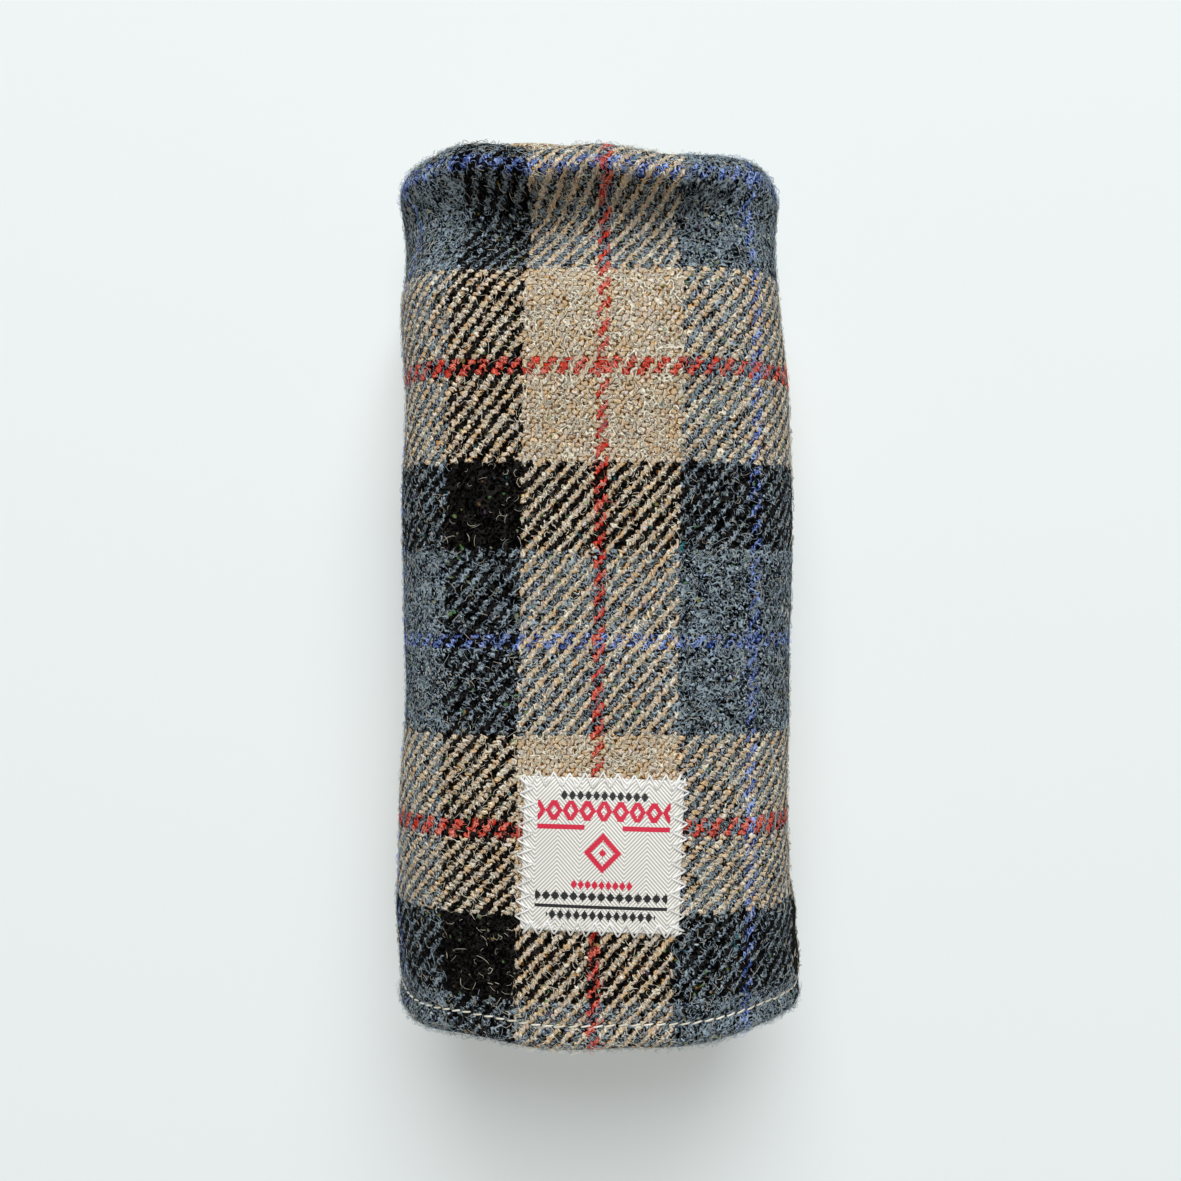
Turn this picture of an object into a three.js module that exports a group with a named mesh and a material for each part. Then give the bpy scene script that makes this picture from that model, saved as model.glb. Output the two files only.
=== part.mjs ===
// A barrel head cover for a golf club: a padded sleeve of check tweed that lies on its back.
// Millimetres. +X is to the right across the label, +Y points to the closed crown, +Z is up.
// The mouth is at -Y, the label faces +Z, and the origin is the middle of the face that it lies on.
import * as THREE from 'three';

// Outline of the lying sleeve
const HALF_LENGTH = 113;
const CROWN_HALF_WIDTH = 51;
const MOUTH_HALF_WIDTH = 54.5;
const HALF_HEIGHT = 43.4;
const FLATTENING = 0.8;            // how far the underside is pressed flat by what it lies on
const AXIS_HEIGHT = HALF_HEIGHT - FLATTENING;
const SQUARENESS = 4;              // superellipse exponent of the cross-section
const SEGMENTS = 48;

// Layers, measured inwards from the outside of the tweed
const GAP = 0.3;
const TWEED = 1.8;
const WADDING = 5;
const LINING = 3;
const HEM_LINING = 2;              // the lining is squeezed where the hem holds it
const WADDING_FACE = TWEED + GAP;
const WADDING_BACK = WADDING_FACE + WADDING;
const LINING_FACE = WADDING_BACK + GAP;
const LINING_BACK = LINING_FACE + LINING;
const FLAP_FACE = TWEED + GAP + HEM_LINING + GAP;
const FLAP_BACK = FLAP_FACE + TWEED;

// Hem at the mouth
const MOUTH_Y = -HALF_LENGTH;
const FLAP_END_Y = MOUTH_Y + 14;
const STITCH_Y = MOUTH_Y + 6.5;
const STITCH_GROOVE = 1.2;
const STITCH_GROOVE_HALF = 0.9;
const WADDING_START_Y = FLAP_END_Y + 1.5;
const LINING_SPREAD_Y = FLAP_END_Y + 11;

// Crown seam: both edges are turned in, side by side
const RIM_Y = HALF_LENGTH - 1;
const SEAM_DEPTH = 8;
const BARREL_SEAM = 8.4;
const CROWN_SEAM = BARREL_SEAM + TWEED + GAP;
const SEAM_END_Y = RIM_Y - SEAM_DEPTH;
const CROWN_DOME = 1;
const LINING_TOP_Y = SEAM_END_Y - GAP;

// Threads
const THREAD_RADIUS = 0.3;
const SEAM_CHANNEL = 1.2;          // hollow along the wadding's underside for the back seam

// Label
const LABEL_WIDTH = 39;
const LABEL_HEIGHT = 37.5;
const LABEL_THICKNESS = 0.6;
const LABEL_X = 1.5;
const LABEL_Y = -64.5;
const LABEL_TURN = THREE.MathUtils.degToRad(-2);
const LABEL_STEPS = 8;
const ZIGZAGS_PER_SIDE = 11;
const ZIGZAG_REACH = 1.8;

const COLOURS = {
  tweed: 0x6f6a5e,
  wadding: 0xe9e6dd,
  lining: 0xd8cdb8,
  label: 0xe3dfd6,
  thread: 0xe9e2d2,
};

function halfWidthAt(y) {
  const along = THREE.MathUtils.clamp((HALF_LENGTH - y) / (2 * HALF_LENGTH), 0, 1);
  return THREE.MathUtils.lerp(CROWN_HALF_WIDTH, MOUTH_HALF_WIDTH, along);
}

function superPower(value) {
  return Math.sign(value) * Math.abs(value) ** (2 / SQUARENESS);
}

// Height of the outside of the tweed above its axis line, at x across the upper side
function topHeight(x, y) {
  const across = Math.min(1, Math.abs(x) / halfWidthAt(y));
  return AXIS_HEIGHT + HALF_HEIGHT * (1 - across ** SQUARENESS) ** (1 / SQUARENESS);
}

// One ring of the sleeve at y, moved inwards by inset and then shrunk towards the axis by scale
function ring(y, inset, scale = 1, channel = 0) {
  const halfWidth = halfWidthAt(y) - inset;
  const halfHeight = HALF_HEIGHT - inset;
  const points = [];
  for (let i = 0; i < SEGMENTS; i += 1) {
    const angle = (2 * Math.PI * i) / SEGMENTS;
    const underside = i === (3 * SEGMENTS) / 4;
    const floor = inset + (underside ? channel : 0);
    const x = halfWidth * superPower(Math.cos(angle));
    const z = Math.max(AXIS_HEIGHT + halfHeight * superPower(Math.sin(angle)), floor);
    points.push(new THREE.Vector3(x * scale, y, AXIS_HEIGHT + (z - AXIS_HEIGHT) * scale));
  }
  return points;
}

function pushTriangle(positions, a, b, c) {
  positions.push(...a.toArray(), ...b.toArray(), ...c.toArray());
}

function bridge(positions, from, to) {
  const count = from.length;
  for (let i = 0; i < count; i += 1) {
    const next = (i + 1) % count;
    pushTriangle(positions, from[i], from[next], to[next]);
    pushTriangle(positions, from[i], to[next], to[i]);
  }
}

function solid(positions) {
  const geometry = new THREE.BufferGeometry();
  geometry.setAttribute('position', new THREE.Float32BufferAttribute(positions, 3));
  geometry.computeVertexNormals();
  return geometry;
}

// A tube wall: rings around a closed loop of [y, inset] stations, outside first, crown to mouth
function tubeWall(stations, channel = 0) {
  const rings = stations.map(([y, inset, underChannel]) => (
    ring(y, inset, 1, underChannel ? channel : 0)));
  const positions = [];
  for (let i = 0; i < rings.length; i += 1) {
    bridge(positions, rings[i], rings[(i + 1) % rings.length]);
  }
  return solid(positions);
}

// A panel across the sleeve: rings from a pole on the outer face round the edge to a pole inside
function endPanel(outerPoleY, stations, innerPoleY) {
  const rings = stations.map(([y, inset, scale]) => ring(y, inset, scale));
  const outerPole = new THREE.Vector3(0, outerPoleY, AXIS_HEIGHT);
  const innerPole = new THREE.Vector3(0, innerPoleY, AXIS_HEIGHT);
  const positions = [];
  const first = rings[0];
  const last = rings[rings.length - 1];
  for (let i = 0; i < SEGMENTS; i += 1) {
    const next = (i + 1) % SEGMENTS;
    pushTriangle(positions, outerPole, first[next], first[i]);
    pushTriangle(positions, innerPole, last[i], last[next]);
  }
  for (let i = 0; i < rings.length - 1; i += 1) {
    bridge(positions, rings[i], rings[i + 1]);
  }
  return solid(positions);
}

// A closed thread along a loop of points, with one section at each point
function threadLoop(points, sides) {
  const count = points.length;
  const sections = points.map((point, i) => {
    const ahead = points[(i + 1) % count].clone().sub(point).normalize();
    const behind = point.clone().sub(points[(i + count - 1) % count]).normalize();
    const along = ahead.add(behind).normalize();
    return threadSection(point, along, sides);
  });
  const positions = [];
  for (let i = 0; i < count; i += 1) {
    bridge(positions, sections[i], sections[(i + 1) % count]);
  }
  return solid(positions);
}

function threadSection(point, along, sides) {
  const reference = Math.abs(along.z) > 0.9 ? new THREE.Vector3(0, 1, 0) : new THREE.Vector3(0, 0, 1);
  const across = new THREE.Vector3().crossVectors(reference, along).normalize();
  const up = new THREE.Vector3().crossVectors(along, across).normalize();
  const section = [];
  for (let i = 0; i < sides; i += 1) {
    const angle = (2 * Math.PI * i) / sides;
    const offset = across.clone().multiplyScalar(Math.cos(angle) * THREAD_RADIUS);
    offset.addScaledVector(up, Math.sin(angle) * THREAD_RADIUS);
    section.push(point.clone().add(offset));
  }
  return section;
}

// A straight thread along the sleeve at height z above the underside
function seamThread(fromY, toY, z) {
  const path = new THREE.LineCurve3(new THREE.Vector3(0, fromY, z), new THREE.Vector3(0, toY, z));
  const section = new THREE.Shape();
  section.absarc(0, 0, THREAD_RADIUS, 0, 2 * Math.PI, false);
  return new THREE.ExtrudeGeometry(section, { extrudePath: path, steps: 1, curveSegments: 8 });
}

function tweedBarrel() {
  const hemBend = (FLAP_BACK - TWEED) / 2;
  const lengthwise = [60, 20, -20, -60];
  const outside = lengthwise.map((y) => [y, 0]);
  const inside = lengthwise.map((y) => [y, TWEED]).reverse();
  return tubeWall([
    [RIM_Y - 1.6, BARREL_SEAM + TWEED],
    [RIM_Y - 0.4, BARREL_SEAM + TWEED / 2],
    [RIM_Y, BARREL_SEAM - 2],
    [RIM_Y - 0.8, 3.6],
    [RIM_Y - 3, 1.3],
    [RIM_Y - 6, 0.3],
    [RIM_Y - 10, 0],
    ...outside,
    [STITCH_Y + STITCH_GROOVE_HALF, 0],
    [STITCH_Y + STITCH_GROOVE_HALF / 2, STITCH_GROOVE],
    [STITCH_Y - STITCH_GROOVE_HALF / 2, STITCH_GROOVE],
    [STITCH_Y - STITCH_GROOVE_HALF, 0],
    [MOUTH_Y + 2.4, 0.3],
    [MOUTH_Y + 0.6, 1.3],
    [MOUTH_Y, FLAP_BACK / 2],
    [MOUTH_Y + 0.6, FLAP_BACK - 1.3],
    [MOUTH_Y + 2.4, FLAP_BACK - 0.3],
    [FLAP_END_Y, FLAP_BACK],
    [FLAP_END_Y, FLAP_FACE],
    [MOUTH_Y + 3, FLAP_FACE],
    [MOUTH_Y + TWEED, TWEED + hemBend / 2],
    [MOUTH_Y + 3, TWEED],
    ...inside,
    [RIM_Y - 10, TWEED],
    [RIM_Y - 6, TWEED + 0.5],
    [RIM_Y - 3.4, TWEED + 1.8],
    [RIM_Y - 2.2, TWEED + 3.8],
    [RIM_Y - 2.6, BARREL_SEAM],
    [SEAM_END_Y, BARREL_SEAM],
    [SEAM_END_Y, BARREL_SEAM + TWEED],
  ]);
}

function tweedCrown() {
  return endPanel(HALF_LENGTH, [
    [HALF_LENGTH - 0.2, CROWN_SEAM + 2, 0.5],
    [HALF_LENGTH - CROWN_DOME, CROWN_SEAM + 2.4, 1],
    [HALF_LENGTH - CROWN_DOME - 0.8, CROWN_SEAM + 0.5, 1],
    [HALF_LENGTH - CROWN_DOME - 2, CROWN_SEAM, 1],
    [SEAM_END_Y, CROWN_SEAM, 1],
    [SEAM_END_Y, CROWN_SEAM + TWEED, 1],
    [HALF_LENGTH - CROWN_DOME - 3, CROWN_SEAM + TWEED, 1],
    [HALF_LENGTH - CROWN_DOME - TWEED, CROWN_SEAM + TWEED + 2, 1],
    [HALF_LENGTH - 0.2 - TWEED, CROWN_SEAM + TWEED + 2, 0.5],
  ], HALF_LENGTH - TWEED);
}

function waddingBarrel() {
  const lengthwise = [60, 0, -50];
  const outside = lengthwise.map((y) => [y, WADDING_FACE, true]);
  const inside = lengthwise.map((y) => [y, WADDING_BACK]).reverse();
  return tubeWall([
    [RIM_Y - 4.2, TWEED + 3.8],
    [RIM_Y - 6.4, WADDING_FACE + 0.9],
    [RIM_Y - 10, WADDING_FACE + 0.1, true],
    ...outside,
    [LINING_SPREAD_Y + 4, WADDING_FACE, true],
    [WADDING_START_Y, WADDING_FACE, true],
    [WADDING_START_Y, WADDING_FACE + SEAM_CHANNEL + 0.6],
    [LINING_SPREAD_Y, WADDING_BACK],
    ...inside,
    [RIM_Y - 5, WADDING_BACK],
  ], SEAM_CHANNEL);
}

function waddingCrown() {
  const edge = CROWN_SEAM + TWEED + GAP;
  const top = HALF_LENGTH - TWEED - GAP;
  return endPanel(top, [
    [top - 0.2, edge + 3, 0.5],
    [top - 1.2, edge + 3, 1],
    [top - 3, edge, 1],
    [SEAM_END_Y, edge, 1],
    [SEAM_END_Y, edge, 0.5],
  ], SEAM_END_Y);
}

function liningBarrel() {
  const hemFace = TWEED + GAP;
  const hemBack = hemFace + HEM_LINING;
  return tubeWall([
    [LINING_TOP_Y, LINING_FACE],
    [60, LINING_FACE],
    [0, LINING_FACE],
    [-50, LINING_FACE],
    [LINING_SPREAD_Y + 0.5, LINING_FACE],
    [WADDING_START_Y - 0.5, hemFace + SEAM_CHANNEL + 0.6],
    [WADDING_START_Y - 1, hemFace],
    [MOUTH_Y + 4, hemFace],
    [MOUTH_Y + 4, hemBack],
    [FLAP_END_Y + 0.5, hemBack],
    [LINING_SPREAD_Y - 1, LINING_BACK],
    [-50, LINING_BACK],
    [0, LINING_BACK],
    [60, LINING_BACK],
    [LINING_TOP_Y, LINING_BACK],
  ]);
}

function liningCrown() {
  const edge = LINING_BACK + GAP;
  const back = LINING_TOP_Y - LINING;
  return endPanel(LINING_TOP_Y, [
    [LINING_TOP_Y, edge + 1.2, 0.5],
    [LINING_TOP_Y, edge + 1.2, 1],
    [LINING_TOP_Y - 1, edge, 1],
    [back, edge, 1],
    [back, edge, 0.5],
  ], back);
}

// The label lies on the upper side of the barrel, GAP above it
function labelPoint(u, v, rise) {
  const turned = new THREE.Vector2(u, v).rotateAround(new THREE.Vector2(0, 0), LABEL_TURN);
  const x = LABEL_X + turned.x;
  const y = LABEL_Y + turned.y;
  return new THREE.Vector3(x, y, topHeight(x, y) + rise);
}

function wovenLabel() {
  const positions = [];
  const lower = GAP;
  const upper = GAP + LABEL_THICKNESS;
  const at = (i, side, rise) => (
    labelPoint(LABEL_WIDTH * (i / LABEL_STEPS - 0.5), side * LABEL_HEIGHT / 2, rise));
  const sections = [];
  for (let i = 0; i <= LABEL_STEPS; i += 1) {
    sections.push([at(i, -1, lower), at(i, -1, upper), at(i, 1, upper), at(i, 1, lower)]);
  }
  for (let i = 0; i < LABEL_STEPS; i += 1) {
    bridge(positions, sections[i + 1], sections[i]);
  }
  const [a, b, c, d] = sections[0];
  const [e, f, g, h] = sections[LABEL_STEPS];
  pushTriangle(positions, a, b, c);
  pushTriangle(positions, a, c, d);
  pushTriangle(positions, e, g, f);
  pushTriangle(positions, e, h, g);
  return solid(positions);
}

function labelStitching() {
  const rise = GAP + LABEL_THICKNESS + GAP + THREAD_RADIUS;
  const points = [];
  const corners = [[-1, -1], [1, -1], [1, 1], [-1, 1]];
  const steps = 2 * ZIGZAGS_PER_SIDE;
  for (let side = 0; side < corners.length; side += 1) {
    const [fromX, fromY] = corners[side];
    const [toX, toY] = corners[(side + 1) % corners.length];
    for (let i = 0; i < steps; i += 1) {
      const along = i / steps;
      const reach = i % 2 === 0 ? ZIGZAG_REACH : -ZIGZAG_REACH;
      const halfX = LABEL_WIDTH / 2 + reach;
      const halfY = LABEL_HEIGHT / 2 + reach;
      const u = THREE.MathUtils.lerp(fromX, toX, along) * halfX;
      const v = THREE.MathUtils.lerp(fromY, toY, along) * halfY;
      points.push(labelPoint(u, v, rise));
    }
  }
  return threadLoop(points, 4);
}

function hemStitching() {
  return threadLoop(ring(STITCH_Y, STITCH_GROOVE - GAP - THREAD_RADIUS - 0.05), 6);
}

function crownSeamStitching() {
  return threadLoop(ring(SEAM_END_Y + 2, BARREL_SEAM - GAP - THREAD_RADIUS), 6);
}

function liningCrownStitching() {
  return threadLoop(ring(LINING_TOP_Y - LINING - GAP - THREAD_RADIUS, LINING_BACK + GAP + THREAD_RADIUS), 6);
}

function piece(name, geometry, colour, roughness) {
  const material = new THREE.MeshStandardMaterial({ color: colour, roughness, metalness: 0 });
  const mesh = new THREE.Mesh(geometry, material);
  mesh.name = name;
  return mesh;
}

function buildCover() {
  const cover = new THREE.Group();
  const backSeamHeight = WADDING_FACE + THREAD_RADIUS;
  const liningSeamHeight = LINING_BACK + GAP + THREAD_RADIUS;
  cover.add(piece('tweed_barrel', tweedBarrel(), COLOURS.tweed, 0.95));
  cover.add(piece('tweed_crown', tweedCrown(), COLOURS.tweed, 0.95));
  cover.add(piece('wadding_barrel', waddingBarrel(), COLOURS.wadding, 1));
  cover.add(piece('wadding_crown', waddingCrown(), COLOURS.wadding, 1));
  cover.add(piece('lining_barrel', liningBarrel(), COLOURS.lining, 1));
  cover.add(piece('lining_crown', liningCrown(), COLOURS.lining, 1));
  cover.add(piece('woven_label', wovenLabel(), COLOURS.label, 0.6));
  cover.add(piece('label_stitching', labelStitching(), COLOURS.thread, 0.6));
  cover.add(piece('hem_stitching', hemStitching(), COLOURS.thread, 0.6));
  cover.add(piece('crown_seam_stitching', crownSeamStitching(), COLOURS.thread, 0.6));
  cover.add(piece('back_seam_stitching', seamThread(-80, 90, backSeamHeight), COLOURS.thread, 0.6));
  cover.add(piece('lining_seam_stitching', seamThread(-80, 90, liningSeamHeight), COLOURS.thread, 0.6));
  cover.add(piece('lining_crown_stitching', liningCrownStitching(), COLOURS.thread, 0.6));
  return cover;
}

export default buildCover();
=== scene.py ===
import math
from functools import partial

import bpy
import numpy as np
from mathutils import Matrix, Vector


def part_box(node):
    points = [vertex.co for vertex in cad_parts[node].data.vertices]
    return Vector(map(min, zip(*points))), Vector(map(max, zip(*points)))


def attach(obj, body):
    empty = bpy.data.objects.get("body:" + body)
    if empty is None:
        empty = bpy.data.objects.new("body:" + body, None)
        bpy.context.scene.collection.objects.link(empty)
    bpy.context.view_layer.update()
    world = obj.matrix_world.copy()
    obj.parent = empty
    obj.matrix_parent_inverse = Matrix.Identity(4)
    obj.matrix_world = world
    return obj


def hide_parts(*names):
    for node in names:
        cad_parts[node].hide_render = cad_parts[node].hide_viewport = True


bl_info = {
    "name": "Tweed head cover",
    "version": (1, 0, 0),
    "blender": (4, 5, 0),
    "location": "View3D > Sidebar > Head cover",
    "description": "Cloth, label and stitching of a padded barrel head cover, around its packed frame",
    "category": "Object",
}

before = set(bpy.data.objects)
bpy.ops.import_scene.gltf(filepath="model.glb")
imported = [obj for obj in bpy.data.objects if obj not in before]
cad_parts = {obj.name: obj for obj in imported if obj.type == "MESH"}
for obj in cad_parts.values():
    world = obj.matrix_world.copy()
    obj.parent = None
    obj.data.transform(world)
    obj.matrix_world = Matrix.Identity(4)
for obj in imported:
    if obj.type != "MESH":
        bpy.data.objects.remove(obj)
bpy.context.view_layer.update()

# ------------------------------------------------------------------ sizes, in millimetres, from the frame
MM = 0.001


def node_box(name):
    """Lowest and highest corner of a frame node, in millimetres."""
    low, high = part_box(name)
    return np.array(low) / MM, np.array(high) / MM


BARREL_LOW, BARREL_HIGH = node_box("tweed_barrel")
CROWN_LOW, CROWN_HIGH = node_box("tweed_crown")
LABEL_LOW, LABEL_HIGH = node_box("woven_label")
HEM_LOW, HEM_HIGH = node_box("hem_stitching")
LINING_TOP_Y = node_box("lining_barrel")[1][1]

MOUTH_Y, RIM_Y = BARREL_LOW[1], BARREL_HIGH[1]
SEAM_END_Y, CROWN_TOP_Y = CROWN_LOW[1], CROWN_HIGH[1]
STITCH_Y = (HEM_LOW[1] + HEM_HIGH[1]) / 2
HALF_HEIGHT = BARREL_HIGH[2] / 2 + 0.4   # a little more than half, because the underside is pressed flat
AXIS_Z = BARREL_HIGH[2] - HALF_HEIGHT

# Layers, inwards from the outside of the tweed
TWEED = 1.6
CLEAR = 0.3
HEM_THICKNESS = 6.2
FLAP_FACE = HEM_THICKNESS - TWEED
FLAP_END_Y = MOUTH_Y + 14
HEM_STACK = FLAP_FACE - CLEAR
WADDING_FACE = TWEED + CLEAR
WADDING_BACK = WADDING_FACE + 4.9
LINING_FACE = WADDING_BACK + CLEAR
LINING_BACK = LINING_FACE + 2.6
BARREL_SEAM = 8.4
CROWN_SEAM = BARREL_SEAM + TWEED + CLEAR
RIM_ROLL = 9.5   # how far along the cover the rim's roll reaches

# How the soft sleeve lies: half its width on each side and how square it is, as stations of (y, value)
RIGHT_SIDE = (
    (112, 49.6), (84, 48.6), (50, 51.6), (25, 52.6), (0, 51.9), (-74, 52.0), (-88, 54.3), (-101, 56.4),
    (-110, 56.2),
)
LEFT_SIDE = (
    (112, 52.6), (92, 52.4), (76, 52.4), (45, 51.0), (-17, 51.0), (-60, 52.6), (-88, 53.6), (-110, 54.0),
)
SQUARENESS = ((112, 3.6), (70, 4.0), (-65, 4.0), (-108, 2.5))
UPPER = (44, 72)                              # heights between which the label's side begins
BEHIND_RIM = ((106, 96), (73, 94))            # where along the cover the hollows begin and end
HOLLOWS = ((15.5, -19, 27), (11.5, 18, 19))   # behind the rim: how deep, where across, how wide
DIMPLE = (1.8, 10, 9, 75, 6)                  # beside them: how deep, x, its reach, y, its reach
SWELL, BUCKLE = 0.5, 0.35                     # depths of the slow waves and the small ones all over
RIM_DIPS = (2.7, 1.5, 1.8)                    # the rim's dips: its right half, its middle, its left corner
CROWN_PUFF = (4.2, -15, 12, 73, 10)           # the crown stands out: how far, x, its reach, z, its reach
NEEDLE_HOLES = 112                            # holes of the hem's stitching, once round
COLUMNS = 345                                 # places round the sleeve in each layer
OUTLINE_STEPS = 1441                          # steps that an outline is measured in

# Cloth: a 97-thread check, woven 2/2 twill, about 25 ends and 22 picks to the inch
END_SPACING = 1.0
PICK_SPACING = 1.13
CHECK = (
    ("beige", 18), ("red", 3), ("beige", 18), ("bluegrey", 18), ("blue", 3), ("bluegrey", 18), ("black", 19),
)
CHECK_THREADS = sum(count for _, count in CHECK)
CHECK_START = 19
# Where stripe edges and middles fall along the cover (y, pick): the cloth is eased lengthwise in the sewing
PICKS = (
    (106.0, 39.5), (79.8, 20.0), (57.0, 2.0), (52.6, -1.0), (31.4, -19.0), (10.1, -38.0),
    (-12.4, -57.5), (-35.4, -77.0), (-56.0, -95.0), (-60.4, -98.0), (-79.3, -116.0), (-100.8, -135.0),
)
RED_END_X = 0.9                # the red end's place across the label's side, at the middle of the cover
RED_END_SLANT = 0.0155         # and how far it runs off line, for each millimetre along
CROWN_CHECK = (26.5, -52.0)    # which end and pick of the check lie at the middle of the crown
SHADED, LIT, STRAY = 0, 1, 2   # the shades of a yarn: its shaded side, its lit side, its stray fibres
YARNS = {
    "beige": ("#ffdcac", "#fffbea", "#fff4dc"),
    "black": ("#010101", "#0c0b0a", "#2a2725"),
    "bluegrey": ("#010203", "#aabecb", "#a2b2bc"),
    "red": ("#ee3a2a", "#ff8068", "#ff8a76"),
    "blue": ("#1c3880", "#9ab8ff", "#a8c0ff"),
}
HEATHER = ((0.38, "#ffdfae"), (0.5, "#ffffff"), (0.62, "#e6dcff"))
NOILS = ((0.34, "#6b4a6e"), (0.4, "#b8902e"), (0.46, "#3f8f4a"), (0.64, "#d8cdb4"), (0.6401, "#2f7f8a"))
FELTED_LAYERS = (   # cells to the thread, where the layer starts, how its fibres bend
    (0.50, (3.3, 7.1, 0.0), 0.5),
    (0.64, (11.7, 2.9, 0.0), -0.7),
)
CURLY_LAYERS = ((3.0, 0.0011), (8.0, 0.0016))   # which field, and the size of its curls in metres
CURL_BREAKS = 0.0026                            # how far apart the hairs break off, in metres

# Label: woven ornament as (middle, half height, from, to, pitch, mark, thread), from the label's centre
LABEL_SIZE = (38.8, 37.6)
LABEL_CENTRE = ((LABEL_LOW + LABEL_HIGH) / 2)[:2]
LABEL_TURN = math.radians(-2)
LABEL_ROWS = (
    (14.4, 1.15, 0.0, 10.8, 1.96, "lozenge", "ink"),
    (10.7, 2.4, 0.0, 16.24, 4.06, "chain", "crimson"),
    (6.7, 0.55, 4.6, 16.2, 0.0, "rule", "crimson"),
    (-7.3, 1.15, 0.0, 7.7, 1.68, "lozenge", "crimson"),
    (-10.2, 1.25, 0.0, 16.0, 2.24, "lozenge", "ink"),
    (-12.6, 0.4, 0.0, 16.0, 0.0, "rule", "ink"),
    (-14.8, 1.25, 0.0, 13.4, 1.96, "lozenge", "ink"),
)
EMBLEM = (0.6, 5.6, 6.0)   # its middle, half width and half height
HERRINGBONE = (5.45, 1.02, 1.08)   # width of its columns, spacing of its lines, slope

# Sewing threads: the shaded side and the lit side
PLY_TWIST = 0.0011
THREADS = {
    "cream_sewing_thread": ("#cfc4ab", "#fbf6e8"),
    "white_sewing_thread": ("#d9d6cf", "#ffffff"),
    "black_sewing_thread": ("#101012", "#3a3a3e"),
}


def linear(hex_colour):
    """sRGB hex to linear red, green, blue."""
    values = [int(hex_colour[i:i + 2], 16) / 255 for i in (1, 3, 5)]
    return tuple(v / 12.92 if v <= 0.04045 else ((v + 0.055) / 1.055) ** 2.4 for v in values)


# ------------------------------------------------------------------ the shape of the lying sleeve
def eased(y, stations):
    """A value that eases from station to station along the cover."""
    places = np.array(sorted(stations))
    y = np.clip(y, places[0, 0], places[-1, 0])
    k = np.clip(np.searchsorted(places[:, 0], y, side="right") - 1, 0, len(places) - 2)
    t = (y - places[k, 0]) / (places[k + 1, 0] - places[k, 0])
    t = t * t * (3 - 2 * t)
    return places[k, 1] * (1 - t) + places[k + 1, 1] * t


def smoothstep(low, high, value):
    """0 at low, 1 at high, and smooth between."""
    t = np.clip((value - low) / (high - low), 0, 1)
    return t * t * (3 - 2 * t)


def bump(value, centre, reach):
    """1 at the centre, and near 0 twice the reach away."""
    return np.exp(-((value - centre) / reach) ** 2)


def outline(y, columns):
    """One cross-section: x, z, and the way inwards, evenly spaced from the underside's middle."""
    angle = np.linspace(-math.pi / 2, 1.5 * math.pi, OUTLINE_STEPS)
    cos, sin = np.cos(angle), np.sin(angle)
    power = eased(y, SQUARENESS)
    width = np.where(cos > 0, eased(y, RIGHT_SIDE), eased(y, LEFT_SIDE))
    radius = ((np.abs(cos) / width) ** power + (np.abs(sin) / HALF_HEIGHT) ** power) ** (-1 / power)
    x = radius * cos
    z = radius * sin + AXIS_Z
    z = 0.5 * (z + np.sqrt(z * z + 0.25)) - 0.07   # what would reach below the floor is pressed flat on it
    length = np.concatenate([[0], np.cumsum(np.hypot(np.diff(x), np.diff(z)))])
    at = np.linspace(0, length[-1], columns)
    x, z = np.interp(at, length, x), np.interp(at, length, z)
    dx, dz = np.gradient(x), np.gradient(z)
    dx[0] = dx[-1] = (x[1] - x[-2]) / 2
    dz[0] = dz[-1] = (z[1] - z[-2]) / 2
    size = np.hypot(dx, dz)
    return x, z, -dz / size, dx / size, at


def sag(y, x, z, along):
    """How far the soft cover stands off its plain outline: along y, and inwards."""
    upper = smoothstep(*UPPER, z)
    hollow = sum(deep * bump(x, at, reach) for deep, at, reach in HOLLOWS)
    for ends in BEHIND_RIM:
        hollow = hollow * smoothstep(*ends, y)
    deep, at_x, reach_x, at_y, reach_y = DIMPLE
    inwards = upper * (hollow + deep * bump(x, at_x, reach_x) * bump(y, at_y, reach_y))
    inwards += SWELL * np.sin(y / 19 + 0.8) * np.sin(along / 21 + y / 60)
    inwards += BUCKLE * np.sin(y / 8.5 + along / 13) * np.sin(along / 9.5 - y / 23 + 1)
    inwards *= smoothstep(0.3, 6, z)   # the underside stays pressed flat
    right, middle, left = RIM_DIPS
    rim = smoothstep(82, 108, y)
    shift_y = -right * smoothstep(0, 20, x) - middle * bump(x, -15, 9) * upper
    shift_y = (shift_y - left * smoothstep(-32, -48, x) + 0.5 * np.sin(along / 17 + 1.5)) * rim
    waves = 0.3 + 0.03 * np.maximum(x, 0) + 0.6 * np.sin(along / 14) + 0.4 * np.sin(along / 6.3 + 2)
    return shift_y + waves * smoothstep(-96, -110, y), inwards


def place(profile, columns=COLUMNS, scale=None, extra=None, push=None):
    """Points of a layer: one row for each (y, depth) of the profile, one column for each place round.
    extra is more depth for each row and column, and push is a shift along the cover for each x and z."""
    rows = []
    for k, (y, depth) in enumerate(profile[:, :2]):
        x, z, inx, inz, along = outline(y, columns)
        shift_y, inwards = sag(y, x, z, along)
        deep = depth + inwards + (0 if extra is None else extra[k])
        px, pz = x + inx * deep, z + inz * deep
        if scale is not None:
            px, pz = px * scale[k], AXIS_Z + (pz - AXIS_Z) * scale[k]
            shift_y = shift_y * scale[k]
        if push is not None:
            shift_y = shift_y + push(px, pz)
        rows.append(np.stack([px, y + shift_y, pz], axis=1))
    return np.array(rows)


def run_of(profile):
    """Length along the cloth at each station of a profile."""
    steps = np.hypot(np.diff(profile[:, 0]), np.diff(profile[:, 1]))
    return np.concatenate([[0], np.cumsum(steps)])


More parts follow.
